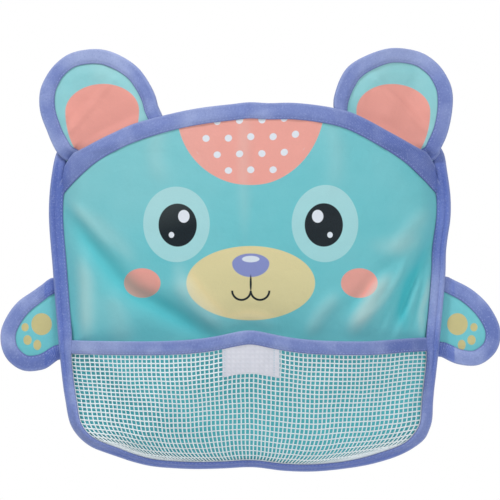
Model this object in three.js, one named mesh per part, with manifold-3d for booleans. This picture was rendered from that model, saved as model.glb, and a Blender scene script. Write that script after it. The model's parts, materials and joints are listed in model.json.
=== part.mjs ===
// Bear-shaped bath toy organizer in millimetres, hung on a wall by two suction cups.
// +X is to the viewer's right, +Y goes into the wall and +Z is up. The origin lies on the wall,
// midway between the cups. The bag is modelled from its bottom seam up and then lowered to that origin.
import * as THREE from "three";
import { mergeVertices } from "three/addons/utils/BufferGeometryUtils.js";
import Module from "manifold-3d";

const wasm = await Module();
wasm.setup();

// Cloth, tape and net
const CLEARANCE = 0.3; // between pieces that touch in the sewn bag
const LAMINATE = 2; // foam-backed cloth of panels, ears and paws
const TAPE = 0.6; // one layer of binding tape
const TAPE_LEG = 11; // reach of the folded tape round the bag
const TOP_TAPE_LEG = 14; // reach of the tape on the front panel's top edge
const EAR_TAPE_LEG = 12; // reach of the tape on ears and paws
const NET_THICKNESS = 0.8;
const NET_STRAND = 2.8; // width of one modelled strand
const NET_COLUMNS = 20;
const NET_ROWS = 8;

// Outline of the bag, seen from the front
const BODY_HALF_WIDTH = 164.4; // at the shoulders
const SIDE_HEIGHT = 260.8; // bottom seam to the top of the straight sides
const CORNER_INSET = 13.4; // from the shoulders in to where the side turns into the back's top edge
const CORNER_RISE = 7.85; // and from the top of the sides up to it
const BACK_CROWN = 23.35; // rise of the back's top edge from there to the middle
const MOUTH_RISE = 40.2; // top of the front panel in the middle, over the top of the sides
const MOUTH_CROWN = 59.04; // fall of the front panel's top edge from there to the shoulders, on an arc
const MOUTH_END_DROP = 21; // how much lower than its arc the front panel's top edge ends
const MOUTH_DROP_REACH = 26.4; // how far in from the shoulders it leaves the arc
const NET_MOUTH_HEIGHT = 106; // top of the net pocket at the sides
const NET_MOUTH_RISE = 5; // and how much higher it is in the middle
// Right half of the outline, in shares of BODY_HALF_WIDTH and SIDE_HEIGHT: the bottom edge from its middle
// to the rounded corner, and the side from there up
const bottomOutlineShares = [
  [0, 0],
  [0.34, 0.004],
  [0.64, 0.026],
];
const sideOutlineShares = [
  [0.8, 0.065],
  [0.885, 0.125],
  [0.918, 0.215],
  [0.943, 0.34],
  [0.98, 0.62],
  [1, 0.81],
  [0.983, 0.935],
  [0.958, 1],
];
const CORNER_HALF_WIDTH = BODY_HALF_WIDTH - CORNER_INSET;
const BACK_CREST = SIDE_HEIGHT + CORNER_RISE + BACK_CROWN;
const MOUTH_CREST = SIDE_HEIGHT + MOUTH_RISE;

// Depth of the filled bag
const FRONT_BULGE = 50;
const NET_BULGE = 36; // how much farther out the net stands
const FLAT_BORDER = 12; // strip round the bag that stays flat under the tape
const BULGE_START = 12.5; // distance from the outline at which the cloth starts to rise
const BULGE_RAMP = 14;
const RAMP_POWER = 0.4;
const FRONT_SIDE_POWER = 0.7; // lower is fuller towards the sides
const FRONT_RISE_POWER = 2.6; // higher is fuller towards the bottom
const NET_SIDE_POWER = 0.8;
const NET_RISE_POWER = 2.8;
const FOLD_HEIGHT = 2.6;
const FOLD_WIDTH = 9;
// Each fold runs between two places and is a ridge, or a hollow where its height share is below zero:
// shares of BODY_HALF_WIDTH, MOUTH_CREST, BODY_HALF_WIDTH, MOUTH_CREST, FOLD_HEIGHT and FOLD_WIDTH
const frontFoldShares = [
  [-0.86, 0.78, -0.45, 0.46, 1, 1],
  [-0.84, 0.68, -0.56, 0.44, -1, 1],
  [-0.8, 0.62, -0.76, 0.42, 0.8, 1],
  [0.86, 0.78, 0.5, 0.48, 0.9, 1],
  [0.84, 0.7, 0.64, 0.44, -1.1, 1],
  [0.8, 0.6, 0.78, 0.42, 0.8, 0.8],
  [-0.22, 0.56, -0.36, 0.42, -0.8, 1],
  [0.2, 0.54, 0.36, 0.42, 0.8, 1],
  [-0.02, 1.02, -0.02, 0.45, 0.7, 0.8],
];
const netFoldShares = [
  [0, 0.4, 0, 0.05, 1, 1.3],
  [-0.4, 0.3, -0.55, 0.06, 1, 2],
  [0.45, 0.3, 0.38, 0.06, 1, 2],
];
// Where along its length a fold rises from nothing to its height, and where it falls again
const foldFadeShares = [-0.1, 0.25, 0.75, 1.1];

// Suction cups and their eyelets
const CUP_DROP = 20.8; // cup centres below the top of the sides
const CUP_INSET = 39; // and in from the bag's corners
const CUP_RADIUS = 24;
const CUP_RIM = 2;
const CUP_HOLLOW = 6;
const CUP_HEIGHT = 13;
const CUP_SHOULDER = 6.5;
// Inside of the cup from its middle out, in shares of CUP_RADIUS and CUP_HOLLOW, and its outside from the
// rim in, in shares of CUP_RADIUS and CUP_HEIGHT
const cupInsideShares = [
  [0, 1],
  [0.35, 0.85],
  [0.7, 0.45],
];
const cupOutsideShares = [
  [0.7, 0.55],
  [0.4, 0.85],
];
const NECK_RADIUS = 3.4;
const HEAD_RADIUS = 6.4;
const HEAD_HEIGHT = 3.6;
// Rounded front of the head, in shares of HEAD_RADIUS and HEAD_HEIGHT
const headShares = [
  [1, 0.3],
  [0.7, 0.85],
  [0, 1],
];
const TAB_WIDTH = 10;
const TAB_LENGTH = 8;
const TAB_THICKNESS = 1.4;
const FLANGE = 1;
const FLANGE_RADIUS = 9;
const EYELET_BORE = 4.1;
const EYELET_WALL = 0.8;
const DRAIN_RADIUS = 4;
const DRAIN_COUNT = 5;
const DRAIN_PITCH = 40;
const DRAIN_HEIGHT = 24;
const HANG_HEIGHT = SIDE_HEIGHT - CUP_DROP;
const CUP_OFFSET = CORNER_HALF_WIDTH - CUP_INSET;

// Ears, in a frame with X along the seam and Z away from it
const EAR_WIDTH = 100.5;
const EAR_HEIGHT = 73;
const EAR_MIDDLE = 30; // middle of the ear from the seam's outer end
const EAR_INSET = 23.4; // the seam's outer end, in from the shoulders
const EAR_SEAM_SPAN = 69; // and from there in to its inner end
const EAR_SEAM_RISE = 6; // height of the seam line over the tape's edge at its ends
const EAR_SEAM_SAG = 0.9; // how far the curved panel stands in front of the strip's ends
const EAR_BEND_START = 4; // how far outside the seam's outer end the ear bends forward
const EAR_BEND_RADIUS = 5;
const EAR_SEAM_OUTER = BODY_HALF_WIDTH - EAR_INSET;
const EAR_SEAM_INNER = EAR_SEAM_OUTER - EAR_SEAM_SPAN;
const earSheetShare = 1.2; // width of the sheet that the ear is cut from
// Shares of EAR_WIDTH, from the ear's middle, and of EAR_HEIGHT
const earOutlineShares = [
  [0.49, 0],
  [0.5, 0.123],
  [0.487, 0.307],
  [0.445, 0.508],
  [0.351, 0.699],
  [0.22, 0.864],
  [0.068, 0.96],
  [-0.089, 1],
  [-0.24, 0.951],
  [-0.344, 0.858],
  [-0.419, 0.745],
  [-0.481, 0.547],
  [-0.5, 0.286],
  [-0.476, 0],
];
// The strip below the seam, in the same shares. It starts where the ear is still flat, so that the ear
// can swing.
const earTabShares = [
  [-0.25, 0],
  [-0.2, -0.14],
  [0.4, -0.14],
  [0.46, 0],
];

// Paws, in a frame with X outwards and Z along the seam
const PAW_REACH = 44;
const PAW_HEIGHT = 72;
const PAW_SEAM_HEIGHT = 122; // middle of the seam above the bottom seam
const PAW_TAB_DEPTH = 9;
const PAW_SEAM_LENGTH = 62;
// Shares of PAW_REACH and PAW_HEIGHT
const pawOutlineShares = [
  [0, 0.455],
  [0.43, 0.335],
  [0.8, 0.125],
  [1, -0.115],
  [0.955, -0.34],
  [0.66, -0.515],
  [0.32, -0.53],
  [0, -0.462],
];

// Blank label on the net
const LABEL_WIDTH = 47;
const LABEL_HEIGHT = 25;
const LABEL_THICKNESS = 0.6;
const LABEL_COLUMNS = 6;
const LABEL_ROWS = 3;

// Fineness of the faceted surfaces
const OUTLINE_STEPS = 3; // between two given points of the bag's outline
const PANEL_COLUMNS = 28;
const PANEL_ROWS = 15;
const LIMB_STEPS = 26;
const ROUND_STEPS = 28;
const SEAM_STEPS = 12;
const CUT_SHARE = 0.05; // how far a cutting sheet runs past what it cuts, in shares of a panel
const SLOPE_STEP = 0.5; // spacing of the points from which a surface's slope is taken
const MERGE_DISTANCE = 1e-4; // points closer than this are one

// Depths of the layers from the wall, worked out from the cups forward
const HALF_CLOTH = LAMINATE / 2;
const EDGE_INSET = TAPE + CLEARANCE; // from a tape's outer edge to the cloth in it
const FLANGE_REAR = CUP_HEIGHT + CLEARANCE;
const BACK_REAR = FLANGE_REAR + FLANGE + CLEARANCE;
const BACK_FRONT = BACK_REAR + LAMINATE;
const FRONT_SEAM = BACK_FRONT + CLEARANCE + TAPE + CLEARANCE + HALF_CLOTH; // middle of the front panel
const FRONT_FACE = FRONT_SEAM + HALF_CLOTH;
const NET_SEAM = FRONT_FACE + CLEARANCE + TAPE + CLEARANCE + NET_THICKNESS / 2; // middle of the net
const WASHER_REAR = BACK_FRONT + CLEARANCE;
const HEAD_REAR = WASHER_REAR + FLANGE + CLEARANCE;
const GROOVE_REAR = BACK_REAR - CLEARANCE;
const GROOVE_FRONT = NET_SEAM + NET_THICKNESS / 2 + CLEARANCE;
const PANEL_GROOVE_FRONT = FRONT_FACE + CLEARANCE;
const BACK_GROOVE_FRONT = BACK_FRONT + CLEARANCE;
const LIMB_TAPE_HALF = HALF_CLOTH + CLEARANCE + TAPE; // half the thickness of a taped edge
const PAW_DEPTH = GROOVE_REAR - TAPE - CLEARANCE - HALF_CLOTH;

const TAPE_COLOUR = 0x6f7fc4;
const TEAL = 0x7cc8cf;
const materials = {
  teal: new THREE.MeshStandardMaterial({ color: TEAL, roughness: 0.6 }),
  tape: new THREE.MeshStandardMaterial({ color: TAPE_COLOUR, roughness: 0.75 }),
  net: new THREE.MeshStandardMaterial({ color: 0xdfeef2, roughness: 0.6 }),
  label: new THREE.MeshStandardMaterial({ color: 0xdfe0ea, roughness: 0.8 }),
  cup: new THREE.MeshStandardMaterial({ color: 0xdce8ec, roughness: 0.15 }),
  eyelet: new THREE.MeshStandardMaterial({ color: 0xf2f2f0, roughness: 0.35 }),
};

// Solids

// The solid inside a closed geometry, with its faces turned outwards
function toSolid(geometry) {
  const bare = geometry.clone();
  bare.deleteAttribute("normal");
  bare.deleteAttribute("uv");
  const merged = mergeVertices(bare, MERGE_DISTANCE);
  const vertProperties = merged.attributes.position.array;
  const order = new Uint32Array(merged.index.array);
  const made = (triVerts) => new wasm.Manifold(new wasm.Mesh({ numProp: 3, vertProperties, triVerts }));
  const solid = made(order);
  return solid.volume() < 0 ? made(order.toReversed()) : solid;
}

function toGeometry(solid) {
  const { vertProperties, triVerts } = solid.getMesh();
  const geometry = new THREE.BufferGeometry();
  geometry.setAttribute("position", new THREE.BufferAttribute(vertProperties, 3));
  geometry.setIndex(new THREE.BufferAttribute(triVerts, 1));
  return geometry;
}

function named(name, geometry, material) {
  const mesh = new THREE.Mesh(geometry, material);
  mesh.name = name;
  return mesh;
}

function indexed(points, triangles) {
  const geometry = new THREE.BufferGeometry();
  geometry.setAttribute("position", new THREE.Float32BufferAttribute(points.flatMap((p) => p.toArray()), 3));
  geometry.setIndex(triangles);
  return geometry;
}

// A sheet over a grid. place(u, v) gives a point of its middle, normal(u, v) the direction of its front
// and thicknessAt(v) its thickness. Cells that isOpen names are holes.
function sheetGeometry(us, vs, place, normal, thicknessAt, isOpen = () => false) {
  const points = [];
  const index = (i, j, side) => (j * us.length + i) * 2 + side;
  for (const v of vs) {
    for (const u of us) {
      const middle = place(u, v);
      const step = normal(u, v).multiplyScalar(thicknessAt(v) / 2);
      points.push(middle.clone().add(step), middle.clone().sub(step));
    }
  }
  const solid = (i, j) => i >= 0 && j >= 0 && i < us.length - 1 && j < vs.length - 1 && !isOpen(i, j);
  const triangles = [];
  const quad = (a, b, c, d) => triangles.push(a, b, c, a, c, d);
  const wall = (i0, j0, i1, j1) =>
    quad(index(i0, j0, 0), index(i0, j0, 1), index(i1, j1, 1), index(i1, j1, 0));
  for (let j = 0; j < vs.length - 1; j++) {
    for (let i = 0; i < us.length - 1; i++) {
      if (!solid(i, j)) continue;
      quad(index(i, j, 0), index(i + 1, j, 0), index(i + 1, j + 1, 0), index(i, j + 1, 0));
      quad(index(i, j, 1), index(i, j + 1, 1), index(i + 1, j + 1, 1), index(i + 1, j, 1));
      if (!solid(i, j - 1)) wall(i, j, i + 1, j);
      if (!solid(i + 1, j)) wall(i + 1, j, i + 1, j + 1);
      if (!solid(i, j + 1)) wall(i + 1, j + 1, i, j + 1);
      if (!solid(i - 1, j)) wall(i, j + 1, i, j);
    }
  }
  return toGeometry(toSolid(indexed(points, triangles)));
}

// A closed loop whose section has the points rings[k] at each step
function loopGeometry(rings) {
  const count = rings[0].length;
  const triangles = [];
  rings.forEach((_, k) => {
    const next = (k + 1) % rings.length;
    for (let i = 0; i < count; i++) {
      const j = (i + 1) % count;
      const [a, b, c, d] = [k * count + i, k * count + j, next * count + j, next * count + i];
      triangles.push(a, b, c, a, c, d);
    }
  });
  return toGeometry(toSolid(indexed(rings.flat(), triangles)));
}

// Section of a tape folded over an edge: how far in from the fold, and how far in front of the wall
function foldSection(leg, rear, front) {
  return [
    [leg, front + TAPE],
    [TAPE, front + TAPE],
    [0, front],
    [0, rear],
    [TAPE, rear - TAPE],
    [leg, rear - TAPE],
    [leg, rear],
    [TAPE, rear],
    [TAPE, front],
    [leg, front],
  ];
}

// Curves and outlines

const lerp = THREE.MathUtils.lerp;
const smoothstep = THREE.MathUtils.smoothstep;

function spline(points) {
  return new THREE.CatmullRomCurve3(points, false, "centripetal");
}

const point = (x, y, z) => new THREE.Vector3(x, y, z);

// How far an arc has fallen at x from its middle, when it falls by crown over half its span
function arcFall(x, halfSpan, crown) {
  const radius = (halfSpan ** 2 + crown ** 2) / (2 * crown);
  return radius - Math.sqrt(radius ** 2 - x ** 2);
}

function backTopAt(x) {
  return BACK_CREST - arcFall(x, CORNER_HALF_WIDTH, BACK_CROWN);
}

const sidePoints = [...bottomOutlineShares, ...sideOutlineShares].map(([x, z]) =>
  point(x * BODY_HALF_WIDTH, 0, z * SIDE_HEIGHT),
);
const topShares = [1, 0.75, 0.5, 0.25, 0];
const halfOutline = spline([
  ...sidePoints,
  ...topShares.map((share) => point(share * CORNER_HALF_WIDTH, 0, backTopAt(share * CORNER_HALF_WIDTH))),
]).getPoints(2 * OUTLINE_STEPS * (sidePoints.length + topShares.length - 1));

// Straight-line reading of one coordinate of a curve's points from the other
function readAcross(points, from, to, value) {
  const k = points.findIndex((p, i) => i > 0 && p[from] >= value);
  const b = points[k > 0 ? k : points.length - 1];
  const a = points[(k > 0 ? k : points.length - 1) - 1];
  return lerp(a[to], b[to], (value - a[from]) / (b[from] - a[from]));
}

// The seam between front and back: the bottom and the side, carried straight on over the open top
const seamLine = [
  ...halfOutline.filter((p) => p.z < SIDE_HEIGHT),
  point(sidePoints.at(-1).x, 0, 2 * MOUTH_CREST),
];
const rimLine = insetPath(seamLine, EDGE_INSET);
const borderLine = insetPath(seamLine, FLAT_BORDER);
// Where the bottom edge ends and the rounded corner begins
const cornerIndex = 2 * OUTLINE_STEPS * (bottomOutlineShares.length - 1);
const halfWidthAt = (height) => readAcross(seamLine, "z", "x", height);

function distanceInside(x, height) {
  const side = Math.abs(x);
  let least = Infinity;
  for (let k = 1; k < seamLine.length; k++) {
    const [a, b] = [seamLine[k - 1], seamLine[k]];
    const [dx, dz] = [b.x - a.x, b.z - a.z];
    const t = THREE.MathUtils.clamp(((side - a.x) * dx + (height - a.z) * dz) / (dx * dx + dz * dz), 0, 1);
    least = Math.min(least, Math.hypot(side - a.x - t * dx, height - a.z - t * dz));
  }
  return least;
}

function mouthAt(x) {
  const arc = MOUTH_CREST - arcFall(x, BODY_HALF_WIDTH, MOUTH_CROWN);
  const leave = BODY_HALF_WIDTH - MOUTH_DROP_REACH;
  return arc - MOUTH_END_DROP * smoothstep(Math.abs(x), leave, BODY_HALF_WIDTH);
}

function netMouthAt(x) {
  return NET_MOUTH_HEIGHT + NET_MOUTH_RISE * Math.cos((x / BODY_HALF_WIDTH) * (Math.PI / 2)) ** 4;
}

// Surfaces of the filled bag

function foldLift(folds, x, height) {
  let lift = 0;
  for (const [x0, z0, x1, z1, high, wide] of folds) {
    const start = new THREE.Vector2(x0 * BODY_HALF_WIDTH, z0 * MOUTH_CREST);
    const run = new THREE.Vector2(x1 * BODY_HALF_WIDTH, z1 * MOUTH_CREST).sub(start);
    const off = new THREE.Vector2(x, height).sub(start);
    const along = off.dot(run) / run.lengthSq();
    const across = off.cross(run) / run.length() / (wide * FOLD_WIDTH);
    const [start0, start1, end0, end1] = foldFadeShares;
    const fade = smoothstep(along, start0, start1) * (1 - smoothstep(along, end0, end1));
    lift += high * FOLD_HEIGHT * fade * Math.exp(-across * across);
  }
  return lift;
}

// 0 at the seam round the bag and 1 well inside it
function seamRamp(x, height) {
  const inside = THREE.MathUtils.clamp((distanceInside(x, height) - BULGE_START) / BULGE_RAMP, 0, 1);
  return (1 - (1 - inside) ** 2) ** RAMP_POWER;
}

function bulge(x, height, top, sidePower, risePower) {
  const corner = seamLine[cornerIndex];
  const half = halfWidthAt(Math.max(height, corner.z)) - BULGE_START;
  const across = THREE.MathUtils.clamp(1 - Math.abs(x) / half, 0, 1);
  const low = readAcross(seamLine, "x", "z", Math.min(Math.abs(x), corner.x)) + BULGE_START;
  const up = THREE.MathUtils.clamp((height - low) / (top - low), 0, 1);
  return (1 - (1 - across) ** 2) ** sidePower * (1 - (1 - up) ** risePower);
}

function frontDepth(x, height) {
  const ramp = seamRamp(x, height);
  const shape = bulge(x, height, MOUTH_CREST, FRONT_SIDE_POWER, FRONT_RISE_POWER);
  return FRONT_SEAM + ramp * (FRONT_BULGE * shape + foldLift(frontFoldShares, x, height));
}

function netDepth(x, height) {
  const ramp = seamRamp(x, height);
  const front = FRONT_BULGE * bulge(x, height, MOUTH_CREST, FRONT_SIDE_POWER, FRONT_RISE_POWER);
  const own = NET_BULGE * bulge(x, height, NET_MOUTH_HEIGHT, NET_SIDE_POWER, NET_RISE_POWER);
  return NET_SEAM + ramp * (front + own + foldLift(netFoldShares, x, height));
}

// A surface given by its depth in front of the wall: a point on it, and the way its front faces
const onSurface = (depthAt) => (x, height) => point(x, -depthAt(x, height), height);
function facing(depthAt) {
  return (x, height) => {
    const slopeX = (depthAt(x + SLOPE_STEP, height) - depthAt(x - SLOPE_STEP, height)) / (2 * SLOPE_STEP);
    const slopeZ = (depthAt(x, height + SLOPE_STEP) - depthAt(x, height - SLOPE_STEP)) / (2 * SLOPE_STEP);
    return point(-slopeX, -1, -slopeZ).normalize();
  };
}

// Places on a panel. From -1 to 1 across, s leaves out the flat borders, and -2 and 2 are its side edges.
// From 0 to 1 up, t leaves out the bottom border and the strip under the top tape, -1 is the bottom edge
// and 2 the outer edge of the top tape.
function panelPlace(s, t, panel) {
  const side = Math.sign(s);
  const out = Math.max(Math.abs(s) - 1, 0);
  const [border, rim] = [borderLine[cornerIndex], rimLine[cornerIndex]];
  if (t < 0 && out > 0) return [side * lerp(border.x, rim.x, out), lerp(border.z, rim.z, out)];
  const cross = Math.min(Math.abs(s), 1);
  const lowAt = (line) => readAcross(line, "x", "z", cross * border.x);
  if (t < 0) return [s * border.x, lerp(lowAt(borderLine), lowAt(rimLine), -t)];
  const edgeHeight = (reach) => heightOf(t, border.z, panel.topAt(reach), panel.leg);
  const [borderHeight, rimHeight] = [edgeHeight(panel.borderReach), edgeHeight(panel.rimReach)];
  const borderX = readAcross(borderLine, "z", "x", borderHeight);
  if (out > 0) {
    const rimX = readAcross(rimLine, "z", "x", rimHeight);
    return [side * lerp(borderX, rimX, out), lerp(borderHeight, rimHeight, out)];
  }
  return [s * borderX, heightOf(t, lowAt(borderLine), panel.topAt(cross * panel.borderReach), panel.leg)];
}

function heightOf(t, low, top, leg) {
  return t < 1 ? lerp(low, top - leg, t) : top - leg * (2 - t);
}

function evenLines(count, low, high) {
  return Array.from({ length: count + 1 }, (_, k) => lerp(low, high, k / count));
}

// Panels

// A sheet on a panel's surface between the given lines, with the panel's own facets
function onPanel(panel, us, vs, thicknessAt, isOpen) {
  const at = (map) => (s, t) => map(...panelPlace(s, t, panel));
  return sheetGeometry(us, vs, at(panel.point), at(panel.normal), thicknessAt, isOpen);
}

function panelOf(topAt, leg, depthAt, columns, thickness) {
  const reach = (line, inset) => readAcross(line, "z", "x", topAt(BODY_HALF_WIDTH - inset));
  return {
    topAt,
    leg,
    columns,
    thickness,
    point: onSurface(depthAt),
    normal: facing(depthAt),
    borderReach: reach(borderLine, FLAT_BORDER),
    rimReach: reach(rimLine, EDGE_INSET),
  };
}

const frontColumns = evenLines(PANEL_COLUMNS, -1, 1);
const front = panelOf(mouthAt, TOP_TAPE_LEG, frontDepth, frontColumns, LAMINATE);

function frontPanel() {
  const us = [-2, ...frontColumns, 2];
  const vs = [-1, ...evenLines(PANEL_ROWS, 0, 1), 2 - EDGE_INSET / TOP_TAPE_LEG];
  return onPanel(front, us, vs, () => LAMINATE);
}

// Lines on both sides of each hole from low to high
function netLines(count, low, high, strand) {
  const pitch = (high - low) / count;
  const holes = Array.from({ length: count }, (_, k) => [
    low + k * pitch + strand / 2,
    low + (k + 1) * pitch - strand / 2,
  ]);
  return [low, ...holes.flat(), high];
}

const netColumns = netLines(NET_COLUMNS, -1, 1, NET_STRAND / BODY_HALF_WIDTH);
const net = panelOf(netMouthAt, TAPE_LEG, netDepth, netColumns, NET_THICKNESS);

function netPocket() {
  const us = [-2, ...netColumns, 2];
  const rows = netLines(NET_ROWS, 0, 1, NET_STRAND / NET_MOUTH_HEIGHT);
  const vs = [-1, ...rows, 2 - EDGE_INSET / TAPE_LEG];
  const isHole = (k, lines) => k > 1 && k < lines.length - 3 && k % 2 === 0;
  const isOpen = (i, j) => isHole(i, us) && isHole(j, vs);
  return onPanel(net, us, vs, () => NET_THICKNESS, isOpen);
}

function backPanel() {
  const half = insetPath(halfOutline.filter((_, k) => k % 2 === 0), EDGE_INSET);
  const left = half.slice(1, -1).reverse().map((p) => point(-p.x, 0, p.z));
  const shape = new THREE.Shape([...half, ...left].map((p) => new THREE.Vector2(p.x, p.z)));
  const hole = (x, height, radius) => {
    const path = new THREE.Path();
    path.absarc(x, height, radius, 0, 2 * Math.PI, true);
    shape.holes.push(path);
  };
  const eyeletHole = EYELET_BORE + EYELET_WALL + CLEARANCE;
  hole(-CUP_OFFSET, HANG_HEIGHT, eyeletHole);
  hole(CUP_OFFSET, HANG_HEIGHT, eyeletHole);
  for (let k = 0; k < DRAIN_COUNT; k++) {
    hole((k - (DRAIN_COUNT - 1) / 2) * DRAIN_PITCH, DRAIN_HEIGHT, DRAIN_RADIUS);
  }
  return standing(shape, LAMINATE, -BACK_REAR);
}

// A flat shape drawn in X and Z, with its rear face at the given y and its thickness towards the front
function standing(shape, thickness, rearY) {
  const curveSegments = ROUND_STEPS / 4;
  const geometry = new THREE.ExtrudeGeometry(shape, { depth: thickness, bevelEnabled: false, curveSegments });
  geometry.rotateX(Math.PI / 2);
  geometry.translate(0, rearY, 0);
  return geometry;
}

// Each point of a path in X and Z moved to its left, seen from the front
function insetPath(points, distance) {
  return points.map((p, k) => p.clone().addScaledVector(leftOf(points, k), distance));
}

function leftOf(points, k, closed = false) {
  const count = points.length;
  const before = points[closed ? (k + count - 1) % count : Math.max(k - 1, 0)];
  const after = points[closed ? (k + 1) % count : Math.min(k + 1, count - 1)];
  const along = after.clone().sub(before).normalize();
  return point(-along.z, 0, along.x);
}

// Tapes

function outerBinding() {
  const half = halfOutline.filter((_, k) => k % 2 === 0);
  const left = half.slice(1, -1).reverse().map((p) => point(-p.x, 0, p.z));
  const loop = [...half, ...left];
  const rings = loop.map((p, k) => {
    const inward = leftOf(loop, k, true);
    const section = foldSection(TAPE_LEG, GROOVE_REAR, grooveFrontAt(p.z));
    return section.map(([a, depth]) => point(p.x + inward.x * a, -depth, p.z + inward.z * a));
  });
  return loopGeometry(rings);
}

const TAPED_MOUTH_HEIGHT = mouthAt(BODY_HALF_WIDTH - FLAT_BORDER);

// The outer tape closes on the net, then on the front panel and at the top on the back panel alone
function grooveFrontAt(height) {
  const onFront = smoothstep(height, NET_MOUTH_HEIGHT, NET_MOUTH_HEIGHT + 2 * TAPE_LEG);
  const onBack = smoothstep(height, TAPED_MOUTH_HEIGHT, TAPED_MOUTH_HEIGHT + 2 * TAPE_LEG);
  return lerp(lerp(GROOVE_FRONT, PANEL_GROOVE_FRONT, onFront), BACK_GROOVE_FRONT, onBack);
}

// A tape folded over the top edge of a panel, cut out round the panel's own facets
function rimBinding(panel) {
  const { leg, thickness, columns } = panel;
  const groove = thickness + 2 * CLEARANCE;
  const full = groove + 2 * TAPE;
  const fold = 2 - (2 * TAPE) / leg;
  const outside = onPanel(panel, columns, [1, fold, 2], (t) => (t < 2 ? full : full - 2 * TAPE));
  const wide = [columns[0] - CUT_SHARE, ...columns, columns.at(-1) + CUT_SHARE];
  const inside = onPanel(panel, wide, [1 - CUT_SHARE, 1, 2 - TAPE / leg], () => groove);
  return toGeometry(toSolid(outside).subtract(toSolid(inside)));
}

// Ears

const earSeamOuter = earSeamEnd(EAR_SEAM_OUTER);
const earSeamInner = earSeamEnd(EAR_SEAM_INNER);
const earTurn = Math.atan2(earSeamOuter.y - earSeamInner.y, earSeamInner.x - earSeamOuter.x);
const earSeamRun = Math.hypot(earSeamInner.x - earSeamOuter.x, earSeamInner.y - earSeamOuter.y);
const earTilt = Math.atan2(earSeamInner.z - earSeamOuter.z, earSeamRun);
const earSeamLength = Math.hypot(earSeamRun, earSeamInner.z - earSeamOuter.z);

// End of the left ear's seam: just behind the tape of the front panel and just above its edge
function earSeamEnd(x) {
  const height = mouthAt(x);
  const behind = HALF_CLOTH + CLEARANCE + TAPE + CLEARANCE + HALF_CLOTH - EAR_SEAM_SAG;
  const seat = front.point(-x, height).addScaledVector(front.normal(-x, height), -behind);
  seat.z = height + EAR_SEAM_RISE;
  return seat;
}

// The ear bends forward outside its seam, so that it passes in front of the bag's corner
function earBend(a, b) {
  const outside = -(a * Math.cos(earTilt) - b * Math.sin(earTilt)) - EAR_BEND_START;
  return (Math.tan(earTurn) * (outside + Math.hypot(outside, EAR_BEND_RADIUS))) / 2;
}

const earPoint = (a, b) => point(a, -earBend(a, b), b);
const earNormal = facing(earBend);

function earPath() {
  const points = earOutlineShares.map(([x, z]) => point(EAR_MIDDLE + x * EAR_WIDTH, 0, z * EAR_HEIGHT));
  return spline(points).getSpacedPoints(LIMB_STEPS);
}

// Prism over a path in X and Z, used to cut a sheet to shape. It is deeper than any limb bends.
function cutter(path) {
  const shape = new THREE.Shape(path.map((p) => new THREE.Vector2(p.x, p.z)));
  const depth = EAR_WIDTH;
  return toSolid(standing(shape, depth, depth / 2));
}

// The rounded fold along which a limb bends, running from x or z low to high
function foldRod(low, high, alongX) {
  const rod = new THREE.CylinderGeometry(HALF_CLOTH, HALF_CLOTH, high - low, SEAM_STEPS);
  if (alongX) rod.rotateZ(Math.PI / 2);
  else rod.rotateX(Math.PI / 2);
  const middle = (low + high) / 2;
  rod.translate(alongX ? middle : 0, 0, alongX ? 0 : middle);
  return toSolid(rod);
}

function earSheet(low, high, thickness) {
  const half = (earSheetShare * EAR_WIDTH) / 2;
  const us = evenLines(LIMB_STEPS, EAR_MIDDLE - half, EAR_MIDDLE + half);
  return toSolid(sheetGeometry(us, evenLines(2, low, high), earPoint, earNormal, () => thickness));
}

function earPanel() {
  const sheet = earSheet(0, EAR_HEIGHT, LAMINATE).intersect(cutter(insetPath(earPath(), EDGE_INSET)));
  const rod = foldRod(EDGE_INSET, earSeamLength - EDGE_INSET, true);
  return toGeometry(sheet.add(rod));
}

function earBinding() {
  return limbBinding(earPath(), (low, thickness) => earSheet(low, EAR_HEIGHT, thickness));
}

function earTab() {
  const path = earTabShares.map(([x, z]) => point(EAR_MIDDLE + x * EAR_WIDTH, 0, z * EAR_HEIGHT));
  return toGeometry(earSheet(-EAR_HEIGHT, -HALF_CLOTH - CLEARANCE, LAMINATE).intersect(cutter(path)));
}

// The tape folded over a limb's edge. sheetFrom(low, thickness) is the limb's cloth from that distance
// outside the seam. The tape stops short of the seam, so that it clears the bag when the limb swings.
function limbBinding(path, sheetFrom) {
  const groove = LAMINATE + 2 * CLEARANCE;
  const folded = sheetFrom(LIMB_TAPE_HALF + CLEARANCE, groove + 2 * TAPE).intersect(cutter(path));
  const tape = folded.subtract(cutter(insetPath(path, EAR_TAPE_LEG)));
  return toGeometry(tape.subtract(sheetFrom(0, groove).intersect(cutter(insetPath(path, TAPE)))));
}

// Paws

const pawSeamTop = halfWidthAt(PAW_SEAM_HEIGHT + PAW_HEIGHT / 2);
const pawSeamLow = halfWidthAt(PAW_SEAM_HEIGHT - PAW_HEIGHT / 2);
const pawTilt = Math.atan2(pawSeamTop - pawSeamLow, PAW_HEIGHT);
const pawSeamX = (pawSeamTop + pawSeamLow) / 2 + LIMB_TAPE_HALF + CLEARANCE;
const PAW_SEAM_HALF = PAW_SEAM_LENGTH / 2;

function pawPath() {
  const points = pawOutlineShares.map(([x, z]) => point(x * PAW_REACH, 0, z * PAW_HEIGHT));
  return spline(points).getSpacedPoints(LIMB_STEPS).reverse();
}

function pawSheet(low, thickness) {
  const sheet = new THREE.BoxGeometry(2 * PAW_REACH, thickness, 2 * PAW_HEIGHT);
  return toSolid(sheet.translate(low + PAW_REACH, 0, 0));
}

function pawPanel() {
  const sheet = pawSheet(0, LAMINATE).intersect(cutter(insetPath(pawPath(), EDGE_INSET)));
  return toGeometry(sheet.add(foldRod(-PAW_SEAM_HALF, PAW_SEAM_HALF, false)));
}

function pawBinding() {
  return limbBinding(pawPath(), pawSheet);
}

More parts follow.
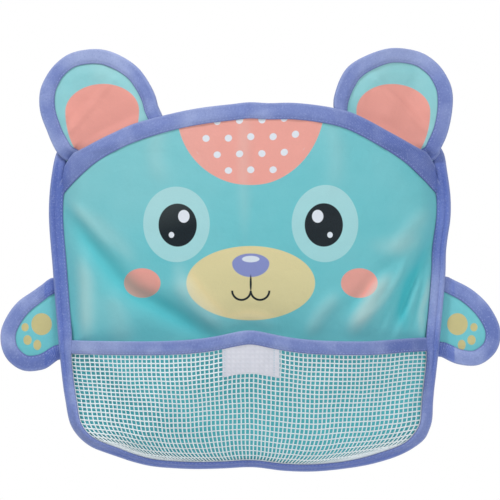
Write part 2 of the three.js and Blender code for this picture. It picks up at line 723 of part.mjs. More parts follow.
function pawTab() {
  const shape = new THREE.Shape();
  const edge = -HALF_CLOTH - CLEARANCE;
  shape.moveTo(edge, PAW_SEAM_HALF);
  shape.lineTo(-PAW_TAB_DEPTH, PAW_SEAM_HALF - PAW_TAB_DEPTH / 2);
  shape.lineTo(-PAW_TAB_DEPTH, -PAW_SEAM_HALF + PAW_TAB_DEPTH / 2);
  shape.lineTo(edge, -PAW_SEAM_HALF);
  return standing(shape, LAMINATE, HALF_CLOTH);
}

// Label

function label() {
  const us = evenLines(LABEL_COLUMNS, -LABEL_WIDTH / 2, LABEL_WIDTH / 2);
  const vs = evenLines(LABEL_ROWS, 0, 1);
  const lift = NET_THICKNESS / 2 + CLEARANCE + LABEL_THICKNESS / 2;
  const top = (x) => netMouthAt(x) - TAPE_LEG - CLEARANCE;
  const heightAt = (x, t) => top(x) - (1 - t) * LABEL_HEIGHT;
  const place = (x, t) => {
    const height = heightAt(x, t);
    return net.point(x, height).addScaledVector(net.normal(x, height), lift);
  };
  return sheetGeometry(us, vs, place, (x, t) => net.normal(x, heightAt(x, t)), () => LABEL_THICKNESS);
}

// Suction cups and eyelets, turned about an axis along Y

function turned(profile) {
  const points = profile.map(([radius, depth]) => new THREE.Vector2(radius, -depth));
  return toSolid(new THREE.LatheGeometry(points, ROUND_STEPS));
}

function suctionCup() {
  const cup = turned([
    ...cupInsideShares.map(([r, y]) => [r * CUP_RADIUS, y * CUP_HOLLOW]),
    [CUP_RADIUS - CUP_RIM, 0],
    [CUP_RADIUS, 0],
    [CUP_RADIUS, TAB_THICKNESS / 2],
    ...cupOutsideShares.map(([r, y]) => [r * CUP_RADIUS, y * CUP_HEIGHT]),
    [CUP_SHOULDER, CUP_HEIGHT],
    [NECK_RADIUS, CUP_HEIGHT],
    [NECK_RADIUS, HEAD_REAR],
    [HEAD_RADIUS, HEAD_REAR],
    ...headShares.map(([r, y]) => [r * HEAD_RADIUS, HEAD_REAR + y * HEAD_HEIGHT]),
  ]);
  const reach = CUP_RIM + TAB_LENGTH;
  const tab = new THREE.BoxGeometry(TAB_WIDTH, TAB_THICKNESS, reach);
  tab.translate(0, -TAB_THICKNESS / 2 - CLEARANCE, -CUP_RADIUS - TAB_LENGTH + reach / 2);
  return toGeometry(cup.add(toSolid(tab)));
}

function eyelet() {
  const outer = EYELET_BORE + EYELET_WALL;
  const end = WASHER_REAR + FLANGE;
  return toGeometry(
    turned([
      [EYELET_BORE, FLANGE_REAR],
      [FLANGE_RADIUS, FLANGE_REAR],
      [FLANGE_RADIUS, FLANGE_REAR + FLANGE],
      [outer, FLANGE_REAR + FLANGE],
      [outer, end],
      [EYELET_BORE, end],
      [EYELET_BORE, FLANGE_REAR],
    ]),
  );
}

function washer() {
  const inner = EYELET_BORE + EYELET_WALL + CLEARANCE;
  return toGeometry(
    turned([
      [inner, WASHER_REAR],
      [FLANGE_RADIUS, WASHER_REAR],
      [FLANGE_RADIUS, WASHER_REAR + FLANGE],
      [inner, WASHER_REAR + FLANGE],
      [inner, WASHER_REAR],
    ]),
  );
}

// Assembly

// The same solid on the other side of the bag, with its faces still pointing out
function mirrored(geometry) {
  return toGeometry(toSolid(geometry).mirror([1, 0, 0]));
}

function earGroup(side, pieces) {
  const seat = new THREE.Group();
  seat.position.set(-side * earSeamOuter.x, earSeamOuter.y, earSeamOuter.z);
  seat.rotation.z = side * earTurn;
  const tilt = new THREE.Group();
  tilt.rotation.y = side * earTilt;
  tilt.add(...pieces);
  seat.add(tilt);
  return seat;
}

function pawGroup(side, pieces) {
  const seat = new THREE.Group();
  seat.position.set(side * pawSeamX, -PAW_DEPTH, PAW_SEAM_HEIGHT);
  seat.rotation.y = side * pawTilt;
  seat.add(...pieces);
  return seat;
}

// Ears are modelled for the left side and paws for the right, and mirrored for the other
function limbs(name, panel, binding, tab, group, modelledSide) {
  return [-1, 1].map((side) => {
    const own = (geometry) => (side === modelledSide ? geometry : mirrored(geometry));
    const prefix = side < 0 ? "left_" : "right_";
    return group(side, [
      named(prefix + name, own(panel), materials.teal),
      named(prefix + name + "_binding", own(binding), materials.tape),
      named(prefix + name + "_seam_tab", own(tab), materials.teal),
    ]);
  });
}

function cupAndEyelet(side) {
  const prefix = side < 0 ? "left_" : "right_";
  const group = new THREE.Group();
  group.position.set(side * CUP_OFFSET, 0, HANG_HEIGHT);
  group.add(
    named(prefix + "suction_cup", suctionCup(), materials.cup),
    named(prefix + "eyelet", eyelet(), materials.eyelet),
    named(prefix + "eyelet_washer", washer(), materials.eyelet),
  );
  return group;
}

const bag = new THREE.Group();
bag.position.z = -HANG_HEIGHT;
bag.add(
  named("back_panel", backPanel(), materials.teal),
  named("front_panel", frontPanel(), materials.teal),
  named("outer_binding", outerBinding(), materials.tape),
  named("top_binding", rimBinding(front), materials.tape),
  named("net_pocket", netPocket(), materials.net),
  named("net_binding", rimBinding(net), materials.tape),
  named("blank_label", label(), materials.label),
  ...limbs("ear", earPanel(), earBinding(), earTab(), earGroup, -1),
  ...limbs("paw", pawPanel(), pawBinding(), pawTab(), pawGroup, 1),
  cupAndEyelet(-1),
  cupAndEyelet(1),
);

const organizer = new THREE.Group();
organizer.add(bag);

export default organizer;
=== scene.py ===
import json
import math

import bmesh
import bpy
import numpy as np
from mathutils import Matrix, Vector, noise

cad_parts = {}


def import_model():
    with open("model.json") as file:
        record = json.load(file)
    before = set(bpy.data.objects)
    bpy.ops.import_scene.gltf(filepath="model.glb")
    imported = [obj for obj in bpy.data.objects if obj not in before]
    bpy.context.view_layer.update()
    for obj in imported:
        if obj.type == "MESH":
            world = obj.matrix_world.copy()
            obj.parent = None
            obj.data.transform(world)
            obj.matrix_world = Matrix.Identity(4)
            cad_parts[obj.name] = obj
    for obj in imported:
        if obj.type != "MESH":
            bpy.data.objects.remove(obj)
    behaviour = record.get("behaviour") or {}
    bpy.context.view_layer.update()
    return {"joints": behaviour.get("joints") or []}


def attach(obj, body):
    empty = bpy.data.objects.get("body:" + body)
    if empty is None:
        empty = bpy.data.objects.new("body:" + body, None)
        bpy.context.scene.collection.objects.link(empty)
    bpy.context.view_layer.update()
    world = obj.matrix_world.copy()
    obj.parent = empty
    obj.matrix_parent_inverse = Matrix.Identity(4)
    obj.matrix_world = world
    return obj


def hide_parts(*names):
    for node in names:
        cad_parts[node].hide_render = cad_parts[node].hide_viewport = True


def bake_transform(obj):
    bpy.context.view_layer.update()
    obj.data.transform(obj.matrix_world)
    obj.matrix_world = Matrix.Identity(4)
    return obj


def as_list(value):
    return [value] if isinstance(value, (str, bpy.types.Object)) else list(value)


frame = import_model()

# Lengths are in millimetres, across the bag, in front of the wall and above the bottom seam, until
# make_object() turns them into metres in the shared frame.
MM = 0.001

# Sizes that the pieces share with the CAD model
CLEARANCE = 0.3
LAMINATE = 2.0
TAPE = 0.6
TAPE_LEG = 11.0
TOP_TAPE_LEG = 14.0
EAR_TAPE_LEG = 12.0
NET_THICKNESS = 0.8
BODY_HALF_WIDTH = 164.4
SIDE_HEIGHT = 260.8
CORNER_HALF_WIDTH = 151.0
BACK_CREST = 292.0
BACK_CROWN = 23.35
MOUTH_CREST = 301.0
MOUTH_CROWN = 59.04
MOUTH_END_DROP = 21.0
MOUTH_DROP_START = 138.0
NET_MOUTH_HEIGHT = 105.0
NET_PEAK = 9.5
NET_PEAK_WIDTH = 30.0
BOTTOM_SHARES = [(0, 0), (0.34, 0.004), (0.64, 0.026)]
SIDE_SHARES = [
    (0.8, 0.065), (0.885, 0.125), (0.918, 0.215), (0.943, 0.34), (0.98, 0.62), (1, 0.81),
    (0.983, 0.935), (0.958, 1),
]
FRONT_BULGE = 50.0
NET_BULGE = 36.0
FLAT_BORDER = 12.0
BULGE_START = 12.5
BULGE_RAMP = 14.0
RAMP_POWER = 0.4
FRONT_POWERS = (0.7, 2.6)
NET_POWERS = (0.8, 2.8)
HANG_HEIGHT = 240.0
CUP_OFFSET = 112.0
CUP_RADIUS = 24.0
CUP_HOLLOW = 6.0
CUP_HEIGHT = 13.0
NECK_RADIUS = 3.4
HEAD_RADIUS = 6.4
HEAD_HEIGHT = 3.6
FLANGE = 1.0
FLANGE_RADIUS = 9.0
EYELET_BORE = 4.1
EYELET_WALL = 0.8
DRAIN_RADIUS = 4.0
DRAIN_PITCH = 40.0
DRAIN_HEIGHT = 24.0
EAR_WIDTH = 100.5
EAR_HEIGHT = 73.0
EAR_MIDDLE = 30.0
EAR_BEHIND = 4.2
EAR_REAR = 19.6
EAR_BEND_START = 4.0
EAR_BEND_RADIUS = 5.0
EAR_SHARES = [
    (0.49, 0), (0.5, 0.123), (0.487, 0.307), (0.445, 0.508), (0.351, 0.699), (0.22, 0.864),
    (0.068, 0.96), (-0.089, 1), (-0.24, 0.951), (-0.344, 0.858), (-0.419, 0.745), (-0.481, 0.547),
    (-0.5, 0.286), (-0.476, 0),
]
PAW_TAPE_LEG = 12.4
PAW_REACH = 44.0
PAW_HEIGHT = 72.0
PAW_SHARES = [
    (0, 0.455), (0.43, 0.335), (0.8, 0.125), (1, -0.115), (0.955, -0.34), (0.66, -0.515),
    (0.32, -0.53), (0, -0.462),
]
NET_PITCH = 3.8
LABEL_WIDTH = 45.5
LABEL_HEIGHT = 23.0
LABEL_SEAM = 3.0

HALF_CLOTH = LAMINATE / 2
EDGE_INSET = TAPE + CLEARANCE
FLANGE_REAR = CUP_HEIGHT + CLEARANCE
BACK_REAR = FLANGE_REAR + FLANGE + CLEARANCE
BACK_FRONT = BACK_REAR + LAMINATE
FRONT_SEAM = BACK_FRONT + CLEARANCE + TAPE + CLEARANCE + HALF_CLOTH
FRONT_FACE = FRONT_SEAM + HALF_CLOTH
NET_SEAM = FRONT_FACE + CLEARANCE + TAPE + CLEARANCE + NET_THICKNESS / 2
WASHER_REAR = BACK_FRONT + CLEARANCE
HEAD_REAR = WASHER_REAR + FLANGE + CLEARANCE
GROOVE_REAR = BACK_REAR - CLEARANCE
GROOVE_FRONT = NET_SEAM + NET_THICKNESS / 2 + CLEARANCE
PANEL_GROOVE_FRONT = FRONT_FACE + CLEARANCE
BACK_GROOVE_FRONT = BACK_FRONT + CLEARANCE
LIMB_GAP = HALF_CLOTH + CLEARANCE

# Folds of the filled bag: the places that each runs through, its height and its width. A hollow's
# height is below zero.
FRONT_FOLDS = [
    (
        [(-151, 214), (-133, 191), (-114, 166), (-95, 145), (-76, 135), (-47, 118), (-24, 105)],
        -5.4,
        9,
    ),
    ([(-148, 221), (-136, 207), (-122, 190), (-110, 176)], 2.4, 5),
    ([(-62, 158), (-42, 134), (-20, 112)], 3.4, 9),
    ([(-136, 180), (-134, 150), (-133, 104)], 3.4, 7),
    ([(-112, 148), (-106, 126), (-102, 100)], 2.2, 12),
    ([(151, 192), (140, 168), (128, 142), (116, 112)], -4.6, 5.5),
    ([(146, 214), (128, 192), (112, 172)], 2, 8),
    ([(120, 176), (98, 150), (78, 128)], -1.8, 6.5),
    ([(112, 162), (96, 136), (82, 112)], 4, 7),
    ([(150, 168), (146, 136), (142, 104)], 2.6, 5),
    ([(74, 146), (58, 128), (46, 108)], 2.6, 7),
    ([(148, 178), (140, 148), (133, 114)], -1.5, 2.4),
    ([(144, 166), (130, 132), (120, 110)], 1.4, 2.6),
    ([(130, 176), (112, 142), (88, 120)], 1.3, 2.8),
    ([(126, 160), (114, 134), (104, 112)], -1.1, 2.6),
    ([(-4, 306), (-5, 250), (-4, 180)], 1.2, 5),
    ([(-70, 292), (-76, 262), (-70, 236)], 1.4, 8),
    ([(62, 292), (70, 256), (66, 226)], 1.2, 8),
    ([(-20, 118), (0, 124), (24, 116)], 1.4, 6),
]
# Painted highlights and painted shade along lines, in the front cloth's colour alone, as paler and
# deeper places
PAINTED_LIGHT_FOLDS = [
    ([(137, 168), (128, 150), (126, 131), (127, 110)], -1.1, 4.5),
    ([(118, 168), (106, 148), (96, 131), (80, 114)], 0.7, 8),
    ([(148, 160), (146, 146), (140, 130), (140, 110)], 0.7, 3),
    ([(92, 184), (112, 182), (146, 186)], 0.45, 9),
    ([(-139, 214), (-120, 198), (-103, 180), (-90, 165)], 0.45, 7),
    ([(-129, 165), (-129, 110)], 0.3, 9),
    ([(-60, 172), (-50, 144)], 0.45, 7),
]
NET_FOLDS = [
    ([(0, 118), (0, 60), (0, 10)], 0.8, 9),
    ([(-66, 92), (-80, 52), (-90, 16)], 2.4, 17),
    ([(-118, 90), (-108, 40)], -1.6, 12),
    ([(34, 90), (30, 40), (28, 16)], -2, 12),
    ([(74, 92), (66, 50), (62, 16)], 2.4, 17),
    ([(124, 86), (116, 40)], 1.6, 12),
]

# Camera

PHOTO_WIDTH = 0.41  # metres across the photograph, in the plane of the bag
CAMERA_DISTANCE = 3.0
AIM_X, AIM_Y, AIM_Z = 0.0004, -0.014, -0.0612  # the middle of that plane
camera_data = bpy.data.cameras.new("camera")
camera_data.sensor_width = 36
camera_data.lens = camera_data.sensor_width * CAMERA_DISTANCE / PHOTO_WIDTH
camera = bpy.data.objects.new("camera", camera_data)
bpy.context.collection.objects.link(camera)
camera.location = (AIM_X, AIM_Y - CAMERA_DISTANCE, AIM_Z)
camera.rotation_euler = (math.radians(90), 0, 0)
bpy.context.scene.camera = camera

# Small helpers


def smooth(value, low, high):
    t = np.clip((np.asarray(value, float) - low) / (high - low), 0, 1)
    return t * t * (3 - 2 * t)


def unit(vectors):
    return vectors / np.linalg.norm(vectors, axis=-1, keepdims=True)


def spline(points, per_span):
    """Centripetal spline through points, with that many steps in each span."""
    p = np.asarray(points, float)
    p = np.vstack([2 * p[0] - p[1], p, 2 * p[-1] - p[-2]])
    out = []
    for k in range(1, len(p) - 2):
        a, b, c, d = p[k - 1 : k + 3]
        ta, tb, tc = (math.dist(u, v) ** 0.5 for u, v in ((a, b), (b, c), (c, d)))
        m = ((b - a) / ta - (c - a) / (ta + tb) + (c - b) / tb) * tb
        n = ((c - b) / tb - (d - b) / (tb + tc) + (d - c) / tc) * tb
        t = np.arange(per_span)[:, None] / per_span
        out.append(b + m * t + (3 * (c - b) - 2 * m - n) * t**2 + (2 * (b - c) + m + n) * t**3)
    return np.vstack([*out, p[-2:-1]])


def lengths(line):
    return np.concatenate([[0], np.cumsum(np.linalg.norm(np.diff(line, axis=0), axis=1))])


def even(line, step):
    """The line with its points spaced evenly, about step apart."""
    along = lengths(line)
    at = np.linspace(0, along[-1], max(2, round(along[-1] / step) + 1))
    return np.stack([np.interp(at, along, line[:, k]) for k in range(line.shape[1])], axis=1)


def left_of(line, closed=False):
    """At each point of a flat line, the direction to its left."""
    if closed:
        run = np.roll(line, -1, axis=0) - np.roll(line, 1, axis=0)
    else:
        run = np.gradient(line, axis=0)
    run = unit(run)
    return np.stack([-run[:, 1], run[:, 0]], axis=1)


def ripple(points, size, seed):
    """Smooth noise from -1 to 1 at each point, with lumps of about that size."""
    flat = np.asarray(points, float).reshape(-1, 3) / size + seed
    values = [noise.noise(Vector(p)) for p in flat]
    return np.array(values).reshape(np.shape(points)[:-1])


# Outline of the bag


def arc_fall(x, half_span, crown):
    radius = (half_span**2 + crown**2) / (2 * crown)
    return radius - np.sqrt(radius**2 - np.asarray(x, float) ** 2)


def back_top(x):
    return BACK_CREST - arc_fall(x, CORNER_HALF_WIDTH, BACK_CROWN)


side_points = [(x * BODY_HALF_WIDTH, z * SIDE_HEIGHT) for x, z in BOTTOM_SHARES + SIDE_SHARES]
top_points = [
    (share * CORNER_HALF_WIDTH, float(back_top(share * CORNER_HALF_WIDTH)))
    for share in (1, 0.75, 0.5, 0.25, 0)
]
OUTLINE_STEPS = 12
half_outline = spline(side_points + top_points, OUTLINE_STEPS)
seam_line = np.vstack(
    [
        half_outline[half_outline[:, 1] < SIDE_HEIGHT][: OUTLINE_STEPS * (len(side_points) - 1)],
        [[side_points[-1][0], 2 * MOUTH_CREST]],
    ]
)
corner = OUTLINE_STEPS * (len(BOTTOM_SHARES) - 1)


def inset(line, distance):
    return line + distance * left_of(line)


rim_line = inset(seam_line, EDGE_INSET)
border_line = inset(seam_line, FLAT_BORDER)


def outline_loop(step):
    """The whole outline as a closed line, and the way in at each of its points."""
    half = even(half_outline, step)
    loop = np.vstack([half, (half * (-1, 1))[::-1][1:-1]])
    return loop, left_of(loop, closed=True)


def in_front(x, height, depth=0.0):
    """Points at that depth in front of the wall."""
    return np.stack(np.broadcast_arrays(x, -np.asarray(depth, float), height), axis=-1)


def height_on(line, x):
    return np.interp(x, line[:, 0][: corner + 1], line[:, 1][: corner + 1])


def width_on(line, height):
    return np.interp(height, line[:, 1], line[:, 0])


def distance_inside(x, height):
    side, height = np.broadcast_arrays(np.abs(x), height)
    least = np.full(side.shape, np.inf)
    for a, b in zip(seam_line[:-1], seam_line[1:]):
        run = b - a
        t = np.clip(((side - a[0]) * run[0] + (height - a[1]) * run[1]) / (run @ run), 0, 1)
        gap = np.hypot(side - a[0] - t * run[0], height - a[1] - t * run[1])
        least = np.minimum(least, gap)
    return least


def mouth(x):
    drop = MOUTH_END_DROP * smooth(np.abs(x), MOUTH_DROP_START, BODY_HALF_WIDTH)
    return MOUTH_CREST - arc_fall(x, BODY_HALF_WIDTH, MOUTH_CROWN) - drop


def net_mouth(x):
    peak = NET_PEAK * np.exp(-((np.hypot(x, 5) - 5) / NET_PEAK_WIDTH) ** 1.3)
    return NET_MOUTH_HEIGHT + peak + 2.2 * smooth(x, 90, 140)


# Surfaces of the filled bag, as depths in front of the wall

SLOPE_STEP = 0.5


def fold_lift(folds, x, height):
    x, height = np.broadcast_arrays(np.asarray(x, float), np.asarray(height, float))
    lift = np.zeros(x.shape)
    for places, high, wide in folds:
        line = even(spline(places, 8), 6)
        along = lengths(line)
        gap, at = np.full(x.shape, np.inf), np.zeros(x.shape)
        for k in range(len(line) - 1):
            run = line[k + 1] - line[k]
            t = ((x - line[k, 0]) * run[0] + (height - line[k, 1]) * run[1]) / (run @ run)
            t = np.clip(t, -3 if k == 0 else 0, 4 if k == len(line) - 2 else 1)
            near = np.hypot(x - line[k, 0] - t * run[0], height - line[k, 1] - t * run[1])
            at = np.where(near < gap, along[k] + t * (along[k + 1] - along[k]), at)
            gap = np.minimum(near, gap)
        share = at / along[-1]
        fade = smooth(share, -0.1, 0.3) * (1 - smooth(share, 0.7, 1.15))
        lift += high * fade * np.exp(-((gap / wide) ** 2))
    return lift


def seam_ramp(x, height):
    inside = np.clip((distance_inside(x, height) - BULGE_START) / BULGE_RAMP, 0, 1)
    return (1 - (1 - inside) ** 2) ** RAMP_POWER


def bulge(x, height, top, powers):
    corner_x, corner_z = seam_line[corner]
    half = width_on(seam_line, np.maximum(height, corner_z)) - BULGE_START
    across = np.clip(1 - np.abs(x) / half, 0, 1)
    low = height_on(seam_line, np.minimum(np.abs(x), corner_x)) + BULGE_START
    up = np.clip((height - low) / (top - low), 0, 1)
    return (1 - (1 - across) ** 2) ** powers[0] * (1 - (1 - up) ** powers[1])


def front_depth(x, height):
    shape = FRONT_BULGE * bulge(x, height, MOUTH_CREST, FRONT_POWERS)
    return FRONT_SEAM + seam_ramp(x, height) * (shape + fold_lift(FRONT_FOLDS, x, height))


def net_depth(x, height):
    front = FRONT_BULGE * bulge(x, height, MOUTH_CREST, FRONT_POWERS)
    extra = NET_BULGE * bulge(x, height, NET_MOUTH_HEIGHT, NET_POWERS)
    folds = fold_lift(NET_FOLDS, x, height)
    return NET_SEAM + seam_ramp(x, height) * (front + extra + folds)


def surface(depth):
    """place(x, height, off) on a surface given by its depth, off in front of it on its normal."""

    def place(x, height, off=0.0):
        x, height = np.broadcast_arrays(np.asarray(x, float), np.asarray(height, float))
        slope_x = (depth(x + SLOPE_STEP, height) - depth(x - SLOPE_STEP, height)) / (2 * SLOPE_STEP)
        slope_z = (depth(x, height + SLOPE_STEP) - depth(x, height - SLOPE_STEP)) / (2 * SLOPE_STEP)
        normal = unit(np.stack([-slope_x, -np.ones(x.shape), -slope_z], axis=-1))
        return in_front(x, height, depth(x, height)) + normal * np.asarray(off, float)[..., None]

    return place


front_place = surface(front_depth)
net_place = surface(net_depth)


def panel_grid(s, t, top_at, leg):
    """x and height of the places (s, t) on a panel, the same places as in the CAD model."""

    def reach(line, distance):
        return width_on(line, float(top_at(BODY_HALF_WIDTH - distance)))

    border_reach, rim_reach = reach(border_line, FLAT_BORDER), reach(rim_line, EDGE_INSET)
    border, rim = border_line[corner], rim_line[corner]

    def height_of(t, low, top):
        return np.where(t < 1, low + (top - leg - low) * t, top - leg * (2 - t))

    x, height = np.zeros((len(t), len(s))), np.zeros((len(t), len(s)))
    cross = np.clip(np.abs(s), 0, 1)
    out = np.clip(np.abs(s) - 1, 0, 1)
    low_border = height_on(border_line, cross * border[0])
    low_rim = height_on(rim_line, cross * border[0])
    tops = top_at(np.sign(s) * cross * border_reach)
    for j, v in enumerate(t):
        if v < 0:
            mid_x, mid_z = cross * border[0], low_border + (low_rim - low_border) * -v
            edge_x = border[0] + (rim[0] - border[0]) * out
            edge_z = border[1] + (rim[1] - border[1]) * out
        else:
            edge = [
                float(height_of(np.float64(v), border[1], float(top_at(r))))
                for r in (border_reach, rim_reach)
            ]
            edges = [float(width_on(border_line, edge[0])), float(width_on(rim_line, edge[1]))]
            mid_x, mid_z = cross * edges[0], height_of(v, low_border, tops)
            edge_x = edges[0] + (edges[1] - edges[0]) * out
            edge_z = edge[0] + (edge[1] - edge[0]) * out
        x[j] = np.sign(s) * np.where(out > 0, edge_x, mid_x)
        height[j] = np.where(out > 0, edge_z, mid_z)
    return x, height


# How the filled bag hangs: its lower edge leans forwards and sags in two lobes, and its right lower
# corner reaches further out

LEAN = 8.2
SQUEEZE = 3.9
MIDDLE_SQUEEZE = 1.5
PINCH = 2.4
LOBES = [
    (-170, 0.6), (-148, 1.6), (-131, 2), (-119, 2.5), (-107, 1.9), (-94, 0.3), (-80, -1.2),
    (-50, -1.2), (-20, -0.2), (2, 0.9), (28, -2.2), (56, -3.5), (88, -2.6), (104, -2), (120, -1.6),
    (164, 0),
]
# How far the mouth's edge stands above or below its even arch, across the bag
BRIM = [
    (-172, 0), (-150, -1.5), (-131, -3), (-114, -2.6), (-96, -2.4), (-73, -4), (-41, -4.6),
    (-16, -4.4), (0, -3.2), (16, -3.4), (33, -1.4), (49, 0), (66, 1.4), (82, 2.4), (98, 1.2),
    (115, -0.5), (131, -1.6), (150, -1), (172, 0),
]
# How far the right side stands in or out, by height
RIGHT_SIDE = [
    (0, 0), (8, 0), (16, 2.2), (24, 4.2), (32, 2.4), (40, 1.6), (52, 0), (64, -1), (80, -1),
    (120, -0.6), (160, -0.4), (178, -1.4), (190, -1), (203, 0.2), (220, 0.7), (244, 0.3),
    (258, 0.8), (270, 0.4), (310, 0),
]
lobe_line, brim_line, right_line = (spline(v, 8) for v in (LOBES, BRIM, RIGHT_SIDE))


def settle(points):
    """The even form's points as the filled bag hangs."""
    x, height = points[:, 0], points[:, 2]
    inside = distance_inside(x, height)
    low = 1 - smooth(height, 14, 70)
    lean = LEAN * low * smooth(inside, 0, 14) * (1 - smooth(inside, 14, 90))
    middle = 1 - smooth(np.abs(x), 70, 115)
    squeeze = (SQUEEZE + MIDDLE_SQUEEZE * middle) * low
    squeeze *= smooth(inside, 0, 12) * (1 - smooth(inside, 14, 60))
    pinch = PINCH * smooth(np.abs(x), 105, 142) * (1 - smooth(height, 86, 112))
    pinch *= smooth(inside, 0, 12) * (1 - smooth(inside, 14, 50))
    sag = np.interp(x, *lobe_line.T) * (1 - smooth(height, 4, 75))
    brim = np.interp(x, *brim_line.T) * smooth(height, 205, 285)
    moved = points.copy()
    moved[:, 0] += np.interp(height, *right_line.T) * smooth(x, 100, 160) + np.sign(x) * pinch
    moved[:, 1] -= lean
    moved[:, 2] += sag + brim - squeeze
    return moved


# Meshes


def make_object(
    name, points, faces, materials, slots=None, coordinates=None, hangs=False, floats=None
):
    """A mesh object from millimetre points. The materials read its attributes: rest keeps each
    point's place at rest, cloth its coordinates on a tape, and floats are values by name."""
    points = np.asarray(points, float)
    placed = ((settle(points) if hangs else points) - (0, 0, HANG_HEIGHT)) * MM
    mesh = bpy.data.meshes.new(name)
    mesh.from_pydata(placed.tolist(), [], [list(f) for f in faces])
    for material in materials:
        mesh.materials.append(material)
    if slots is not None:
        mesh.polygons.foreach_set("material_index", np.asarray(slots, np.int32))
    mesh.polygons.foreach_set("use_smooth", np.ones(len(mesh.polygons), bool))
    given = [("rest", "FLOAT_VECTOR", "vector", points)]
    given += [(key, "FLOAT", "value", values) for key, values in (floats or {}).items()]
    if coordinates is not None:
        given.append(("cloth", "FLOAT_VECTOR", "vector", coordinates))
    for key, kind, part, values in given:
        added = mesh.attributes.new(key, kind, "POINT")
        added.data.foreach_set(part, np.asarray(values, np.float32).ravel())
    mesh.update()
    made = bpy.data.objects.new(name, mesh)
    bpy.context.collection.objects.link(made)
    return made


def sharpen(obj, degrees):
    """Keeps edges hard where the faces meet at more than that angle."""
    obj.data.set_sharp_from_angle(angle=math.radians(degrees))
    return obj


def slab(front, back, closed=False):
    """Points, faces and material slots (0 on the front) of a sheet between two grids of points.
    Rows that are closed run round a hub, which gets a face of its own on each side."""
    rows, columns = front.shape[:2]
    points = np.concatenate([front.reshape(-1, 3), back.reshape(-1, 3)])
    half = rows * columns

    def at(j, i, side):
        return side * half + j * columns + i % columns

    faces, slots = [], []
    last, top = columns if closed else columns - 1, rows - 1
    for j in range(top):
        for i in range(last):
            faces.append((at(j, i, 0), at(j, i + 1, 0), at(j + 1, i + 1, 0), at(j + 1, i, 0)))
            faces.append((at(j, i, 1), at(j + 1, i, 1), at(j + 1, i + 1, 1), at(j, i + 1, 1)))
            slots += [0, 1]
    if closed:
        faces += [tuple(at(0, i, side) for i in range(columns)) for side in (0, 1)]
        slots += [0, 1]
    for i in range(last):
        if not closed:
            faces.append((at(0, i, 0), at(0, i, 1), at(0, i + 1, 1), at(0, i + 1, 0)))
        faces.append((at(top, i + 1, 0), at(top, i + 1, 1), at(top, i, 1), at(top, i, 0)))
    if not closed:
        for j in range(top):
            faces.append((at(j, 0, 0), at(j + 1, 0, 0), at(j + 1, 0, 1), at(j, 0, 1)))
            faces.append((at(j, last, 0), at(j, last, 1), at(j + 1, last, 1), at(j + 1, last, 0)))
    return points, faces, slots + [1] * (len(faces) - len(slots))


def ring_faces(rings, size, base=0, caps=(-1, 1)):
    """Faces between rings of points. The numbers in caps are the ways that the two end faces turn,
    and without caps the last ring joins the first."""
    faces = []
    for k in range(rings - 1 if caps else rings):
        near, far = base + k * size, base + (k + 1) % rings * size
        for i in range(size):
            j = (i + 1) % size
            faces.append((near + i, near + j, far + j, far + i))
    for start, turn in zip((base, base + (rings - 1) * size), caps):
        faces.append(tuple(range(start, start + size))[::turn])
    return faces


def tubes(lines, wide, thick):
    """Closed flat tubes of four sides along lines, wide across and thick along the normals."""
    points, faces, base = [], [], 0
    for line, normal in lines:
        side = unit(np.cross(unit(np.gradient(line, axis=0)), normal)) * wide / 2
        front = normal * thick / 2
        ring = np.stack([line + side, line + front, line - side, line - front], axis=1)
        points.append(ring.reshape(-1, 3))
        faces += ring_faces(len(line), 4, base)
        base += 4 * len(line)
    return np.vstack(points), faces


def outward(obj):
    """Turns the faces of a closed mesh to the outside."""
    work = bmesh.new()
    work.from_mesh(obj.data)
    bmesh.ops.recalc_face_normals(work, faces=work.faces)
    work.to_mesh(obj.data)
    work.free()
    return obj


# Tapes

STITCH_PITCH = 2.9
STITCH_LENGTH = 2.1
STITCH_RADIUS = 0.22
STITCH_INSET = 1.5
STITCH_SIDES = 6
# Share of a stitch's length, height and share of its radius
STITCH_RINGS = [
    (0, -0.25, 0.5),
    (0.2, 0.05, 0.95),
    (0.5, 0.15, 1),
    (0.8, 0.05, 0.95),
    (1, -0.25, 0.5),
]
OUTER_LEG = 11.8
ROLL = 4.4  # from the side tape's fold to the crease along it
PILLOW = 0.75
FOLD_POWER = 2 / 2.6


def tape_section(leg, gap):
    """Closed section of a tape folded over an edge: how far in from the fold, and how far off the
    cloth's middle. Each leg is a little padded, dips at its stitches and is rounded at its end."""
    outer = gap + TAPE
    depth = min(3.2, outer)

    def fold(depth, half, count):
        angle = np.linspace(np.pi / 2, -np.pi / 2, count)
        a = depth * (1 - np.abs(np.cos(angle)) ** FOLD_POWER)
        return a, half * np.sign(np.sin(angle)) * np.abs(np.sin(angle)) ** FOLD_POWER

    a = np.linspace(depth, leg - 0.3, 15)
    share = (a - depth) / (leg - depth)
    pillow = PILLOW * np.sin(np.pi * np.clip(share * 1.04, 0, 1) ** 1.5) ** 0.8
    dip = 0.3 * np.exp(-(((a - (leg - STITCH_INSET)) / 0.6) ** 2))
    front = list(zip(a[::-1], (outer + pillow - dip)[::-1]))
    end = [(leg, outer - 0.1), (leg, gap + 0.08)]
    outside = end[::-1] + front + list(zip(*fold(depth, outer, 13)))[1:-1]
    outside += [(x, -y) for x, y in front[::-1]] + [(x, -y) for x, y in end]
    inner_a, inner_o = fold(depth - TAPE, gap, 7)
    inside = [(leg - 1, -gap)] + list(zip(inner_a + TAPE, inner_o))[::-1] + [(leg - 1, gap)]
    return np.array(outside + inside)


